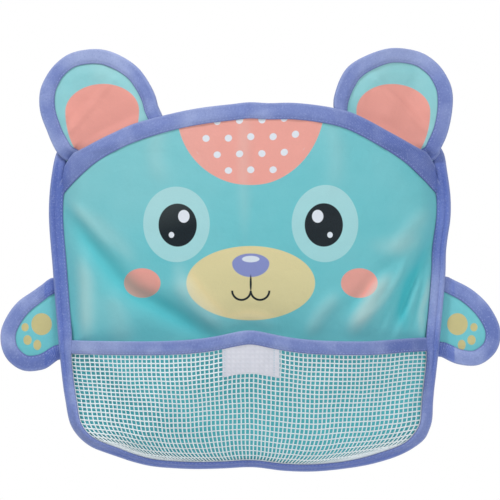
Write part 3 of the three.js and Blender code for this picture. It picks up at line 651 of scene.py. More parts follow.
def stitches(name, lines, hangs):
    """Rows of short threads that dive in at both ends."""
    points, faces, base = [], [], 0
    turn = np.linspace(0, 2 * np.pi, STITCH_SIDES, endpoint=False)
    across, outwards = np.cos(turn)[None, :, None], np.sin(turn)[None, :, None]
    share, lift, radius = np.array(STITCH_RINGS).T
    for line, normal in lines:
        along = lengths(line)
        for start in np.arange(STITCH_PITCH / 2, along[-1] - STITCH_LENGTH, STITCH_PITCH):
            at = start + STITCH_LENGTH * share
            centre = np.stack([np.interp(at, along, line[:, k]) for k in range(3)], axis=1)
            up = unit(np.stack([np.interp(at, along, normal[:, k]) for k in range(3)], axis=1))
            side = unit(np.cross(unit(centre[-1:] - centre[:1]), up))
            spokes = across * side[:, None] + outwards * up[:, None]
            middle = (centre + up * lift[:, None])[:, None]
            points.append((middle + STITCH_RADIUS * radius[:, None, None] * spokes).reshape(-1, 3))
            faces += ring_faces(len(share), STITCH_SIDES, base)
            base += len(share) * STITCH_SIDES
    return outward(make_object(name, np.vstack(points), faces, [thread], hangs=hangs))


def sewn_tape(name, place, leg, gaps, along, closed=False, hangs=False):
    """A tape along its edge, and its stitches. place(reach, off) gives the points of all the tape's
    rings, gaps how far off the cloth's middle each leg starts, and along the places on the edge."""
    sections = np.array([tape_section(leg, gap) for gap in gaps])
    reach = sections[..., 0]
    rings = place(reach, sections[..., 1])
    count, size = rings.shape[:2]
    steps = np.linalg.norm(np.diff(sections, axis=1), axis=2)
    across = np.concatenate([np.zeros((count, 1)), np.cumsum(steps, axis=1)], axis=1)
    coordinates = np.stack([np.repeat(along[:, None], size, axis=1), across, reach], axis=2)
    faces = ring_faces(count, size, caps=() if closed else (1, -1))
    floats = {"hem": reach.max() - reach}
    made = make_object(name, rings.reshape(-1, 3), faces, [tape], None, coordinates, hangs, floats)
    binding = sharpen(outward(made), 50)
    lines = []
    for side in (1, -1):
        off = side * (gaps[:, None] + TAPE + 0.05)
        at = np.full(off.shape, leg - STITCH_INSET)
        on, above = place(at, off)[:, 0], place(at, off + side)[:, 0]
        if closed:
            on, above = np.vstack([on, on[:1]]), np.vstack([above, above[:1]])
        lines.append((on, unit(above - on)))
    rows = stitches(name.replace("tape", "stitches"), lines, hangs)
    return binding, rows


# Materials


def linear(red, green, blue):
    """Linear colour from sRGB values of 0 to 255."""

    def one(value):
        value /= 255
        return value / 12.92 if value <= 0.04045 else ((value + 0.055) / 1.055) ** 2.4

    return (one(red), one(green), one(blue), 1)


TEAL = linear(116, 196, 204)
TEAL_DEEP = linear(80, 184, 194)
TEAL_PALE = linear(154, 209, 213)
# Painted shade multiplied into the cloth's fold hollows, and a painted highlight on the fold ridges
HOLLOW_SHADE = (0.36, 0.92, 0.95, 1)
RIDGE_HIGHLIGHT = linear(206, 222, 216)
SALMON = linear(236, 160, 148)
MINT = linear(164, 214, 218)
CREAM = linear(226, 210, 158)
MUSTARD = linear(198, 188, 132)
NOSE = linear(138, 144, 200)
INK = linear(8, 4, 6)
WHITE = linear(224, 229, 238)
PURPLE = linear(114, 133, 193)
PURPLE_DEEP = linear(84, 103, 170)
PURPLE_LIGHT = linear(150, 165, 212)
PRINT_EDGE = 0.35
SHEEN_ROUGHNESS = 0.4


def between(operation):
    """A method that adds a math node on a value and another."""
    return lambda self, other: self.look.math(operation, self, other)


class Value:
    """A node's output, whose arithmetic adds math nodes."""

    __add__, __sub__ = between("ADD"), between("SUBTRACT")
    __mul__, __truediv__ = between("MULTIPLY"), between("DIVIDE")

    def __init__(self, look, socket):
        self.look, self.socket = look, socket

    def __rsub__(self, other):
        return self.look.math("SUBTRACT", other, self)

    def __abs__(self):
        return self.look.math("ABSOLUTE", self)

    def scaled(self, gain, offset):
        return self.look.math("MULTIPLY_ADD", self, gain, offset)

    def ramp(self, gain, offset):
        return self.look.clamp(self.scaled(gain, offset))


class Look:
    """A node material, or the world, with short calls for what the looks share."""

    def __init__(self, name, owners=bpy.data.materials, shader="Principled BSDF"):
        self.owner = owners.new(name)
        self.owner.use_nodes = True
        self.tree = self.owner.node_tree
        self.shader = self.tree.nodes[shader]

    def feed(self, socket, value):
        if isinstance(value, Value):
            self.tree.links.new(value.socket, socket)
        else:
            socket.default_value = value

    def outputs(self, kind, inputs, **settings):
        """The outputs of a new node, from its inputs by number or name."""
        made = self.tree.nodes.new(kind)
        for key, value in settings.items():
            setattr(made, key, value)
        for key, value in inputs.items():
            self.feed(made.inputs[key], value)
        return made.outputs

    def output(self, which, kind, inputs, **settings):
        return Value(self, self.outputs(kind, inputs, **settings)[which])

    def math(self, operation, *values):
        return self.output(0, "ShaderNodeMath", dict(enumerate(values)), operation=operation)

    def clamp(self, value):
        return self.output(0, "ShaderNodeClamp", {0: value})

    def mix(self, share, first, second, blend="MIX"):
        inputs = {0: share, 6: first, 7: second}
        return self.output(2, "ShaderNodeMix", inputs, data_type="RGBA", blend_type=blend)

    def attribute(self, name, which="Vector"):
        return self.output(which, "ShaderNodeAttribute", {}, attribute_name=name)

    def split(self, vector):
        made = self.outputs("ShaderNodeSeparateXYZ", {0: vector})
        return [Value(self, socket) for socket in made]

    def rest(self):
        """The place at rest, its x and its height."""
        place = self.attribute("rest")
        x, _, height = self.split(place)
        return place, x, height

    def noise(self, vector, scale, detail=3.0, roughness=0.5):
        inputs = {"Vector": vector, "Scale": scale, "Detail": detail, "Roughness": roughness}
        return self.output("Fac", "ShaderNodeTexNoise", inputs)

    def wave(self, coordinate, pitch):
        """0 to 1 and back over each pitch."""
        return self.math("SINE", coordinate * (2 * math.pi / pitch)).scaled(0.5, 0.5)

    def bump(self, height, distance, strength, onto=None):
        inputs = {"Strength": strength, "Distance": distance, "Height": height}
        if onto is not None:
            inputs["Normal"] = onto
        return self.output(0, "ShaderNodeBump", inputs)

    def finish(self, colour, roughness, normal=None, sheen=0.0, **plain):
        inputs = {"Base Color": colour, "Roughness": roughness}
        if normal is not None:
            inputs["Normal"] = normal
        inputs |= {"Sheen Weight": sheen, "Sheen Roughness": SHEEN_ROUGHNESS}
        inputs |= {key.replace("_", " "): value for key, value in plain.items()}
        for key, value in inputs.items():
            self.feed(self.shader.inputs[key], value)
        return self.owner

    # Masks of a print, in millimetres: 1 inside and 0 outside, with a narrow soft edge

    def within(self, share, radius, soft=PRINT_EDGE):
        """From a distance share that is 1 on the edge."""
        return (1.0 - share).ramp(radius / soft, 0.5)

    def ellipse(self, x, z, centre, radii, lower=None, soft=PRINT_EDGE):
        """An ellipse, or an egg where its lower half has a radius of its own."""
        dx = (x - centre[0]) * (1 / radii[0])
        dz = z - centre[1]
        if lower is None:
            dz = dz * (1 / radii[1])
        else:
            up, down = self.math("MAXIMUM", dz, 0.0), self.math("MINIMUM", dz, 0.0)
            dz = up * (1 / radii[1]) + down * (1 / lower)
        return self.within(self.math("SQRT", dx * dx + dz * dz), min(radii), soft)

    def arc(self, x, z, centre, radius, wide, below):
        """The part of a ring that lies lower than below."""
        dx, dz = x - centre[0], z - centre[1]
        off = abs(self.math("SQRT", dx * dx + dz * dz) - radius)
        return self.within(off / (wide / 2), wide / 2) * (below - z).ramp(3.0, 0.5)


def cloth_look(name, print_on=None, base=TEAL, folds=False):
    """Printed, foam-backed cloth. Where folds is set, its colour gets painted shade in the folds'
    hollows and a painted highlight on their ridges.
    """
    look = Look(name)
    rest, x, z = look.rest()
    colour = look.mix(look.noise(rest, 0.022).ramp(3.0, -1.1) * 0.3, base, TEAL_DEEP)
    if print_on is not None:
        colour = print_on(look, x, z, colour)
    if folds:
        # painted light: painted shade in the fold hollows and a painted highlight on the ridges
        painted_light = look.attribute("painted_light", "Fac")
        colour = look.mix(look.clamp(painted_light * -0.55), colour, HOLLOW_SHADE, "MULTIPLY")
        colour = look.mix(look.clamp(painted_light * 0.38), colour, RIDGE_HIGHLIGHT)
    colour = look.mix(look.noise(rest, 1.6, 2.0) * 0.12, colour, linear(70, 120, 140))
    rough = look.noise(rest, 0.09).scaled(0.14, 0.40)
    creases = look.bump(look.noise(rest, 0.10, 5.0, 0.55), 0.0010, 0.5)
    threads = look.wave(x, 0.7) * look.wave(z, 0.7)
    normal = look.bump(threads, 0.00006, 0.8, creases)
    return look.finish(colour, rough, normal, sheen=0.04, Specular_IOR_Level=0.16)


def spots(look, x, z, colour, places):
    """Adds printed spots in their order: centre, radii and tone, and the lower radius of an egg."""
    for centre, radii, tone, *lower in places:
        colour = look.mix(look.ellipse(x, z, centre, radii, *lower), colour, tone)
    return colour


CAP_CENTRE = (0, 298)
DOT_COLUMNS, DOT_ROWS = 18.0, 14.0
SMILE_HEIGHT = 146


def face_print(look, x, z, ground):
    """A plain animal face: a dotted cap, round eyes, a muzzle and cheeks."""
    across = x - 1.0
    side = abs(across)
    colour = spots(look, side, z, ground, [(CAP_CENTRE, (60, 66), SALMON)])
    row = look.math("FLOOR", z * (1 / DOT_ROWS))
    shift = look.math("MODULO", row, 2.0) * (DOT_COLUMNS / 2)
    cell_x = look.math("FLOORED_MODULO", across + shift, DOT_COLUMNS)
    cell_z = look.math("FLOORED_MODULO", z, DOT_ROWS)
    dots = look.ellipse(cell_x, cell_z, (DOT_COLUMNS / 2, DOT_ROWS / 2), (2.9, 2.9))
    colour = look.mix(dots * look.ellipse(side, z, CAP_CENTRE, (54, 60), soft=2.0), colour, WHITE)
    places = [
        ((60, 200), (27, 31), MINT),
        ((59, 199), (15.5, 17.5), INK),
        ((54, 206), (4.6, 5.2), WHITE),
        ((64, 191), (2.2, 2.4), WHITE),
        ((88, 152), (15, 12), SALMON),
        ((0, 152), (52, 30), CREAM),
        ((0, 168), (15, 8), NOSE, 11),
        ((0, 171.5), (7, 2.6), WHITE),
    ]
    colour = spots(look, side, z, colour, places)
    smile = look.arc(side, z, (7.5, SMILE_HEIGHT), 7.5, 1.7, SMILE_HEIGHT)
    stem = look.ellipse(side, z, (0, 152), (0.85, 6.5))
    return look.mix(look.math("MAXIMUM", smile, stem), colour, INK)


def ear_print(look, x, z, ground):
    return spots(look, abs(x + 1.4), z, ground, [((118.6, 292), (30.5, 22), SALMON, 46)])


def paw_print(look, x, z, ground):
    places = [
        ((170.5, 118), (8.4, 9), MUSTARD),
        ((184, 115.5), (3, 3.4), MUSTARD),
        ((182, 105), (3.4, 4), MUSTARD),
        ((174, 101), (3.2, 4.2), MUSTARD),
    ]
    return spots(look, abs(x), z, ground, places)


# Painted highlights and painted shade: places where the tape is lighter or darker, with centre and
# radii in x and z, and a share
TAPE_HIGHLIGHTS = [
    ((-122, 340), (34, 15), 0.5),
    ((128, 339), (40, 15), 0.35),
    ((-40, 294), (20, 12), 0.25),
    ((-118, 101), (24, 12), 0.3),
    ((155, 139), (10, 26), 0.3),
]
TAPE_SHADES = [
    ((126, 262), (54, 40), 0.65),
    ((132, 101), (24, 12), 0.6),
    ((-158, 222), (10, 36), 0.45),
    ((-180, 88), (24, 10), 0.55),
    ((199, 114), (10, 22), 0.5),
]


def tape_look():
    """Woven tape: fine ribs across it, a paler edge, painted highlights and painted shade in
    places, painted shade along the bottom and sides, a painted shadow along its hem, and a grain.
    """
    look = Look("binding_tape")
    along, across, reach = look.split(look.attribute("cloth"))
    rest, x, z = look.rest()
    side = abs(x)
    colour = look.mix(look.noise(rest, 0.08, 4.0) * 0.9, PURPLE, PURPLE_DEEP)
    colour = look.mix(look.noise(rest, 0.035, 2.0).ramp(4.0, -1.9) * 0.75, colour, PURPLE_LIGHT)
    # painted shade: darker and bluer along the bottom and on the side tapes, by the paws too
    limbs = side.ramp(0.12, -17.4) * (side.ramp(-0.8, 135.0) * z.ramp(-0.1, 26.0))
    extra = look.math("MAXIMUM", z.ramp(-0.08, 2.0), limbs)
    colour = look.mix(extra * 0.85, colour, linear(66, 94, 176))
    # painted highlights and painted shade at the listed places
    for places, tone in ((TAPE_HIGHLIGHTS, linear(178, 191, 226)), (TAPE_SHADES, linear(44, 74, 156))):
        for centre, radii, share in places:
            place = look.ellipse(x, z, centre, radii, soft=min(radii))
            colour = look.mix(place * share, colour, tone)
    grain = look.noise(rest, 0.7, 4.0, 0.7)
    ribs = look.wave(along, 1.1)
    for share, tone in (
        (grain.ramp(5.0, -2.7) * 0.4, linear(176, 188, 226)),
        (grain.ramp(-5.0, 2.3) * 0.4, linear(72, 88, 156)),
        (reach.ramp(-0.45, 1.15) * 0.4, PURPLE_LIGHT),
        # painted shadow: darker along the tape's hem, where it meets the cloth
        (look.attribute("hem", "Fac").ramp(-1.1, 1.0) * 0.7, linear(52, 66, 128)),
        (ribs * 0.10, linear(190, 200, 232)),
    ):
        colour = look.mix(share, colour, tone)
    height = look.wave(across, 0.8).scaled(0.35, ribs)
    crumple = look.bump(look.noise(rest, 0.25, 4.0), 0.0007, 0.55)
    normal = look.bump(height, 0.00012, 0.8, crumple)
    return look.finish(colour, 0.5, normal, sheen=0.06, Specular_IOR_Level=0.5)


def plain_look(name, tones, tint, grain, relief, roughness=0.5, sheen=0.0):
    """Two tones mixed by one noise, and a fine bump from another."""
    look = Look(name)
    rest = look.attribute("rest")
    if isinstance(roughness, tuple):
        scale, gain, least = roughness
        roughness = look.noise(rest, scale).scaled(gain, least)
    colour = look.mix(look.noise(rest, *tint), *tones)
    return look.finish(colour, roughness, look.bump(look.noise(rest, *grain), *relief), sheen)


def label_look():
    look = Look("label")
    rest, x, z = look.rest()
    colour = look.mix(look.noise(rest, 0.12), linear(224, 225, 234), linear(206, 208, 220))
    off = abs(abs(x) - (LABEL_WIDTH / 2 - LABEL_SEAM))
    seam = look.within(off / 0.45, 0.45, 0.3) * look.wave(z, 2.0)
    colour = look.mix(seam * 0.5, colour, linear(150, 196, 216))
    squares = look.math("MAXIMUM", look.wave(x, NET_PITCH), look.wave(z, NET_PITCH))
    colour = look.mix(squares * 0.12, colour, linear(176, 188, 204))
    threads = look.wave(x, 0.5) * look.wave(z, 0.5)
    normal = look.bump(threads, 0.00005, 0.7, look.bump(squares, 0.0003, 0.5))
    return look.finish(colour, 0.5, normal, sheen=0.1)


def cup_look():
    look = Look("clear_cup")
    rest = look.attribute("rest")
    haze = look.noise(rest, 0.12).scaled(0.12, 0.08)
    normal = look.bump(look.noise(rest, 0.2), 0.0002, 0.25)
    return look.finish(linear(232, 242, 246), haze, normal, Transmission_Weight=0.85, IOR=1.42)


THREAD_TONES = linear(120, 136, 196), linear(152, 164, 212)
NET_TONES = linear(242, 248, 250), linear(226, 240, 246)
EYELET_TONES = linear(240, 240, 236), linear(228, 230, 228)

printed = cloth_look("printed_cloth", face_print, folds=True)
plain = cloth_look("teal_cloth")
ear_cloth = cloth_look("ear_cloth", ear_print, TEAL_PALE)
paw_cloth = cloth_look("paw_cloth", paw_print)
tape = tape_look()
thread = plain_look("thread", THREAD_TONES, (1.2,), (3.0,), (0.0001, 0.6), sheen=0.2)
net_material = plain_look("net", NET_TONES, (0.8, 2.0), (2.6, 2.0), (0.0002, 0.6), sheen=0.15)
label_material = label_look()
cup_material = cup_look()
eyelet_material = plain_look(
    "eyelet", EYELET_TONES, (0.4,), (1.2,), (0.00005, 0.3), roughness=(0.7, 0.12, 0.25)
)

# Front panel

FRONT_COLUMNS = 230
FRONT_ROWS = 150
FULL_PAINTED_LIGHT = 4  # height of a fold that gets the full painted highlight on its ridge and the full painted shade in its hollow
PAINTED_LIGHT_RANGE = -1.7, 1.4


def front_panel():
    """The front cloth from its places on the panel, with its painted fold light and shade for the
    material.
    """
    border = np.linspace(1, 2, 6)[1:]
    s = np.concatenate([-border[::-1], np.linspace(-1, 1, FRONT_COLUMNS), border])
    t = np.concatenate(
        [
            [-1, -0.7, -0.4],
            np.linspace(0, 1, FRONT_ROWS),
            np.linspace(1, 2 - EDGE_INSET / TOP_TAPE_LEG, 8)[1:],
        ]
    )
    x, height = panel_grid(s, t, mouth, TOP_TAPE_LEG)
    middle = front_place(x, height)
    loose = 0.35 * seam_ramp(x, height) * ripple(middle, 17, 3.7)
    off = np.full(x.shape, HALF_CLOTH)
    front, back = front_place(x, height, loose + off), front_place(x, height, loose - off)
    points, faces, slots = slab(front, back)
    # painted light from the fold heights: a painted highlight on ridges and painted shade in
    # hollows
    painted_light = np.clip(fold_lift(FRONT_FOLDS, x, height) / FULL_PAINTED_LIGHT, -1, 1) * seam_ramp(x, height)
    # painted light: paler towards the top and the upper left; painted shade: deeper to the right
    # and behind the net's tape
    painted_light += 0.25 * smooth(height, 150, 260) - 0.16
    painted_light += 0.2 * smooth(-x, -10, 110) * smooth(height, 150, 230) - 0.06 * smooth(x, 0, 120)
    painted_light -= 0.8 * (1 - smooth(height, 88, 104))
    painted_light += fold_lift(PAINTED_LIGHT_FOLDS, x, height)
    floats = {"painted_light": np.clip(np.tile(painted_light.ravel(), 2), *PAINTED_LIGHT_RANGE)}
    made = make_object("front_cloth", points, faces, [printed, plain], slots, None, True, floats)
    return sharpen(made, 60)


front_cloth = front_panel()
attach(front_cloth, "bag")
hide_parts("front_panel")

# Back panel


def back_panel():
    """A flat grid in the outline, with the eyelet and drain holes cut out of it."""
    loop, inward = outline_loop(6)
    rim = loop + EDGE_INSET * inward
    centre = np.array([0, 150.0])
    shares = np.concatenate([[0.002], np.linspace(0.03, 1, 44)])
    grid = centre + shares[:, None, None] * (rim - centre)[None]
    x, z = grid[..., 0], grid[..., 1]
    sag = 0.45 * ripple(in_front(x, z), 40, 9.1) * (1 - shares[:, None] ** 6)
    front, back = in_front(x, z, BACK_FRONT + sag), in_front(x, z, BACK_REAR + sag)
    points, faces, _ = slab(front, back, closed=True)
    made = outward(make_object("back_cloth", points, faces, [plain], hangs=True))
    eyelet_hole = EYELET_BORE + EYELET_WALL + CLEARANCE
    holes = [(side * CUP_OFFSET, HANG_HEIGHT, eyelet_hole) for side in (-1, 1)]
    holes += [(k * DRAIN_PITCH, DRAIN_HEIGHT, DRAIN_RADIUS) for k in range(-2, 3)]
    return made, holes


back_cloth, back_holes = back_panel()
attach(back_cloth, "bag")
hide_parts("back_panel")

# Tape round the bag


def groove_front(height):
    """Depth of the front side of what the tape holds: net, front and back, or the back alone."""
    on_front = smooth(height, NET_MOUTH_HEIGHT, NET_MOUTH_HEIGHT + 2 * TAPE_LEG)
    start = float(mouth(BODY_HALF_WIDTH - FLAT_BORDER))
    on_back = smooth(height, start, start + 2 * TAPE_LEG)
    front = GROOVE_FRONT + (PANEL_GROOVE_FRONT - GROOVE_FRONT) * on_front
    return front + (BACK_GROOVE_FRONT - front) * on_back


def outer_tape():
    loop, inward = outline_loop(2.6)
    fronts = groove_front(loop[:, 1])
    gaps = (fronts - GROOVE_REAR) / 2
    middles = (fronts + GROOVE_REAR) / 2
    wobble = 0.25 * ripple(in_front(*loop.T), 9, 1.3)
    on_side = smooth(loop[:, 1], 60, 90) * (1 - smooth(loop[:, 1], 238, 262))
    crease = -0.75 * on_side[:, None]

    def place(reach, off):
        x = loop[:, :1] + inward[:, :1] * reach
        z = loop[:, 1:] + inward[:, 1:] * reach
        outside = np.abs(off) > gaps[:, None] + 0.3
        soft = wobble[:, None] * np.sign(off) * np.clip(reach / 6, 0, 1) * outside
        soft += crease * np.exp(-(((reach - ROLL) / 0.8) ** 2)) * np.sign(off) * outside
        return in_front(x, z, middles[:, None] + off + soft)

    return sewn_tape("outer_tape", place, OUTER_LEG, gaps, lengths(loop), closed=True, hangs=True)


outer, outer_thread = outer_tape()
for piece in (outer, outer_thread):
    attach(piece, "bag")
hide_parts("outer_binding")

# Tapes on the top edges of the front panel and the net

TOP_TAPE_LOWER = [
    (0, 287.8), (32, 285.6), (65, 278.7), (94, 267.6), (112, 259), (127, 249.5), (139, 238),
    (150, 226), (158, 217),
]


def rim_tape(name, top_at, leg, place_on, thickness, wave_height, lower=None, rise=0.0):
    """A tape over the upper edge of a panel, down to a lower curve or leg wide. Near its ends its
    upper part stands rise further forwards, over the ears' tapes, and it tucks in under the side
    tape."""
    gap = thickness / 2 + CLEARANCE
    reach_x = float(width_on(rim_line, float(top_at(BODY_HALF_WIDTH))))
    edge_x = np.linspace(-reach_x, reach_x, 400)
    edge = even(np.stack([edge_x, top_at(edge_x)], axis=1), 2.1)
    down = -left_of(edge)
    if lower is not None:
        right = np.array(lower, float)
        curve = even(spline(np.vstack([(right * (-1, 1))[:0:-1], right]), 12), 1)
        share = np.linspace(0, 1, len(edge))
        at = lengths(curve) / lengths(curve)[-1]
        low = np.stack([np.interp(share, at, curve[:, k]) for k in range(2)], axis=1)
        down = (low - edge) / leg
    wobble = wave_height * ripple(in_front(*edge.T), 12, 5.2)
    over = rise * smooth(np.abs(edge[:, 0]), 104, 128) * (1 - smooth(np.abs(edge[:, 0]), 150, 160))

    def place(reach, off):
        px = edge[:, :1] + down[:, :1] * reach
        pz = edge[:, 1:] + down[:, 1:] * reach
        limit = width_on(rim_line, pz)
        px = np.clip(px, -limit, limit)
        beyond = np.maximum(np.abs(off) - gap, 0)
        soft = wobble[:, None] * np.clip(reach / 5, 0, 1) * (beyond > 0.2)
        tuck = 0.25 + 0.75 * smooth(distance_inside(px, pz), 9, 14)
        outer = np.minimum(np.abs(off), gap) + (beyond + soft) * tuck
        forward = over[:, None] * (1 - smooth(reach, 5, leg))
        return place_on(px, pz, np.sign(off) * outer + forward)

    return sewn_tape(name, place, leg, np.full(len(edge), gap), lengths(edge), hangs=True)


top_tape, top_thread = rim_tape(
    "top_tape", mouth, TOP_TAPE_LEG, front_place, LAMINATE, 0.3, TOP_TAPE_LOWER, rise=3.2
)
net_tape, net_thread = rim_tape("net_tape", net_mouth, TAPE_LEG, net_place, NET_THICKNESS, 0.4)
for piece in (top_tape, top_thread, net_tape, net_thread):
    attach(piece, "bag")
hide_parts("top_binding")
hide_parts("net_binding")

# Net

NET_COLUMNS = 80
NET_ROWS = 23
NET_RIM = 1.8  # where the net ends in the tape, on a scale of 1 at its border to 2 at the seam
STRAND_WIDTH = 1.12
STRAND_THICKNESS = 0.8
CELL_STEPS = 3


def net():
    """The net's strands, along and across the panel, and on under its tapes."""
    s_lines = np.linspace(-1, 1, NET_COLUMNS + 1)
    t_lines = np.linspace(0, 1, NET_ROWS + 1)
    border = np.array([1.3, 1.55, NET_RIM])
    fine_s = np.linspace(-1, 1, NET_COLUMNS * CELL_STEPS + 1)
    fine_t = np.linspace(0, 1, NET_ROWS * CELL_STEPS + 1)
    end = 2 - EDGE_INSET / TAPE_LEG
    all_s = np.concatenate([-border[::-1], fine_s, border])
    all_t = np.concatenate([[1 - NET_RIM, -0.4], fine_t, [1.5, end]])

    def line(s, t):
        x, height = panel_grid(s, t, net_mouth, TAPE_LEG)
        x, height = x.ravel(), height.ravel()
        at = in_front(x, height)
        inner = seam_ramp(x, height) * smooth(net_mouth(x) - height, 5, 18)
        x = x + inner * (0.35 * ripple(at, 11, 2.2) + 0.9 * ripple(at, 31, 6.4))
        height = height + inner * (0.35 * ripple(at, 11, 7.7) + 0.9 * ripple(at, 31, 3.1))
        on, above = net_place(x, height), net_place(x, height, 1.0)
        return on, above - on

    made = [line(np.array([s]), all_t) for s in s_lines]
    made += [line(np.array([s]), all_t[2:]) for s in (-NET_RIM, -1.4, 1.4, NET_RIM)]
    made += [line(all_s, np.array([t])) for t in np.concatenate([t_lines, [1.5, end]])]
    made += [line(fine_s, np.array([t])) for t in (1 - NET_RIM, -0.4)]
    points, faces = tubes(made, STRAND_WIDTH, STRAND_THICKNESS)
    return outward(make_object("net_mesh", points, faces, [net_material], hangs=True))


net_mesh = net()
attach(net_mesh, "bag")
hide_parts("net_pocket")

# Label

LABEL_MIDDLE = 1.2
LABEL_TUCK = 2  # of it under the net's tape
LABEL_HALF_THICKNESS = 0.14


def label():
    grid_u, grid_v = np.meshgrid(np.linspace(-0.5, 0.5, 40), np.linspace(0, 1, 24))
    x = grid_u * LABEL_WIDTH + LABEL_MIDDLE
    top = net_mouth(x) - TAPE_LEG + LABEL_TUCK
    height = top - (1 - grid_v) * (LABEL_HEIGHT + LABEL_TUCK)
    curl = (1 - grid_v) ** 2
    lift = 0.6 + 0.5 * curl * (0.6 + 0.4 * ripple(in_front(x, height), 16, 4.4))
    front, back = (net_place(x, height, lift + side * LABEL_HALF_THICKNESS) for side in (1, -1))
    points, faces, _ = slab(front, back)
    made = make_object("label_cloth", points, faces, [label_material], hangs=True)
    return sharpen(outward(made), 60)


label_cloth = label()
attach(label_cloth, "bag")
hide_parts("blank_label")

# Ears and paws

SIDES = {-1: "left_", 1: "right_"}
EAR_STEP = 2.2
PAW_STEP = 2.0
BACK_PUFF = 0.4
joints = {joint["name"]: joint for joint in frame["joints"]}


def in_frame(point):
    """A point of the bag in metres in the shared frame, as a tuple."""
    return tuple((point - (0, 0, HANG_HEIGHT)) * MM)


def in_bag(joint):
    return np.array(joint["pos_m"]) / MM + (0, 0, HANG_HEIGHT)


def seam_frame(joint):
    """Origin, axes (along, backwards and away) and angles of the left ear's seam, by its hinge."""
    axis = np.array(joint["axis"], float)
    axis /= np.linalg.norm(axis)
    turn, tilt = math.atan2(axis[1], axis[0]), -math.asin(axis[2])
    back = np.array([-math.sin(turn), math.cos(turn), 0])
    level = math.sin(tilt)
    away = np.array([level * math.cos(turn), level * math.sin(turn), math.cos(tilt)])
    return in_bag(joint), axis, back, away, turn, tilt


ear_origin, ear_axis, ear_back, ear_away, ear_turn, ear_tilt = seam_frame(joints["left_ear_fold"])


def ear_bend(a, b):
    outside = -(a * math.cos(ear_tilt) + b * math.sin(ear_tilt)) - EAR_BEND_START
    return math.tan(-ear_turn) * (outside + np.hypot(outside, EAR_BEND_RADIUS)) / 2


def ear_place(a, b, off, side):
    """A point of an ear from its place along and away from the seam, off in front of the cloth."""
    a, b, off = np.broadcast_arrays(*(np.asarray(v, float) for v in (a, b, off)))
    slope_a = (ear_bend(a + SLOPE_STEP, b) - ear_bend(a - SLOPE_STEP, b)) / (2 * SLOPE_STEP)
    slope_b = (ear_bend(a, b + SLOPE_STEP) - ear_bend(a, b - SLOPE_STEP)) / (2 * SLOPE_STEP)
    normal = unit(np.stack([-slope_a, -np.ones(a.shape), -slope_b], axis=-1))
    local = np.stack([a, -ear_bend(a, b), b], axis=-1) + normal * off[..., None]
    placed = ear_origin + local[..., 0:1] * ear_axis + local[..., 1:2] * ear_back
    placed = (placed + local[..., 2:3] * ear_away) * (-side, 1, 1)
    # the photograph's ears aren't quite mirror images
    up = smooth(b, 0, 45)
    if side < 0:
        placed[..., 0] += 3.4 * smooth(-placed[..., 0], 138, 172) * smooth(b, -2, 25)
        placed[..., 2] -= 0.9 * up
    else:
        inner = 5.2 * (1 - smooth(placed[..., 0], 78, 118))
        outer = 2.2 * smooth(placed[..., 0], 140, 176)
        placed[..., 0] -= (1.8 + 5 * up + outer) * smooth(b, -6, 6) + inner * smooth(b, -9, 0)
    # below the seam the ear goes on behind the front panel's tape
    behind = np.maximum(front_depth(placed[..., 0], placed[..., 2]) - EAR_BEHIND, EAR_REAR)
    share = 1 - smooth(b, -7, 3)
    placed[..., 1] += share * (off - behind - placed[..., 1] - 2 * off)
    return placed


def limb(
    side, kind, material, place_on, path, step, low, ends, hub, rings, soften, leg, wave, seam
):
    """The cloth, tape and stitches of an ear or a paw. place_on(a, b, off) sets a point by its
    places along and away from the seam, and soften(a, b, inside) tells how far the cloth puffs out
    and lies loose. low is the cloth's edge behind the seam, and ends are the tape's ends there."""
    name = SIDES[side] + kind
    inner = path + EDGE_INSET * left_of(path)
    loop = np.vstack([inner, even(np.vstack([inner[-1], low, inner[0]]), step)[1:-1]])
    # rings of points from the edge to a small hub
    shares = np.concatenate([[0.004], np.linspace(0.05, 1, rings)])
    a, b = np.moveaxis(hub + shares[:, None, None] * (loop - hub)[None], -1, 0)
    inside = np.min(np.hypot(a[..., None] - path[:, 0], b[..., None] - path[:, 1]), axis=-1)
    puff, loose = soften(a, b, inside)
    front = place_on(a, b, HALF_CLOTH + puff + loose)
    back = place_on(a, b, -HALF_CLOTH - BACK_PUFF * puff + loose)
    points, faces, slots = slab(front, back, closed=True)
    cloth = outward(make_object(name + "_cloth", points, faces, [material, plain], slots))
    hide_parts(name, name + "_seam_tab")

    line = even(np.vstack([ends[0], path, *ends[1:]]), step)
    inward = left_of(line)
    flat = np.stack([line[:, 0], line[:, 1], np.full(len(line), 4.0 * side)], axis=1)
    wobble = wave * ripple(flat, 9, 8.3)

    def place(reach, off):
        a = line[:, :1] + inward[:, :1] * reach
        b = line[:, 1:] + inward[:, 1:] * reach
        outside = np.abs(off) > LIMB_GAP + 0.2
        soft = wobble[:, None] * np.sign(off) * np.clip(reach / 5, 0, 1) * outside
        return place_on(a, b, off + soft)

    gaps = np.full(len(line), LIMB_GAP)
    binding, rows = sewn_tape(name + "_tape", place, leg, gaps, lengths(line))
    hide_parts(name + "_binding")
    start, end = seam
    for piece in (cloth, binding, rows):
        in_frame(start)
        in_frame(end)
        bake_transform(piece)
    return cloth, binding, rows


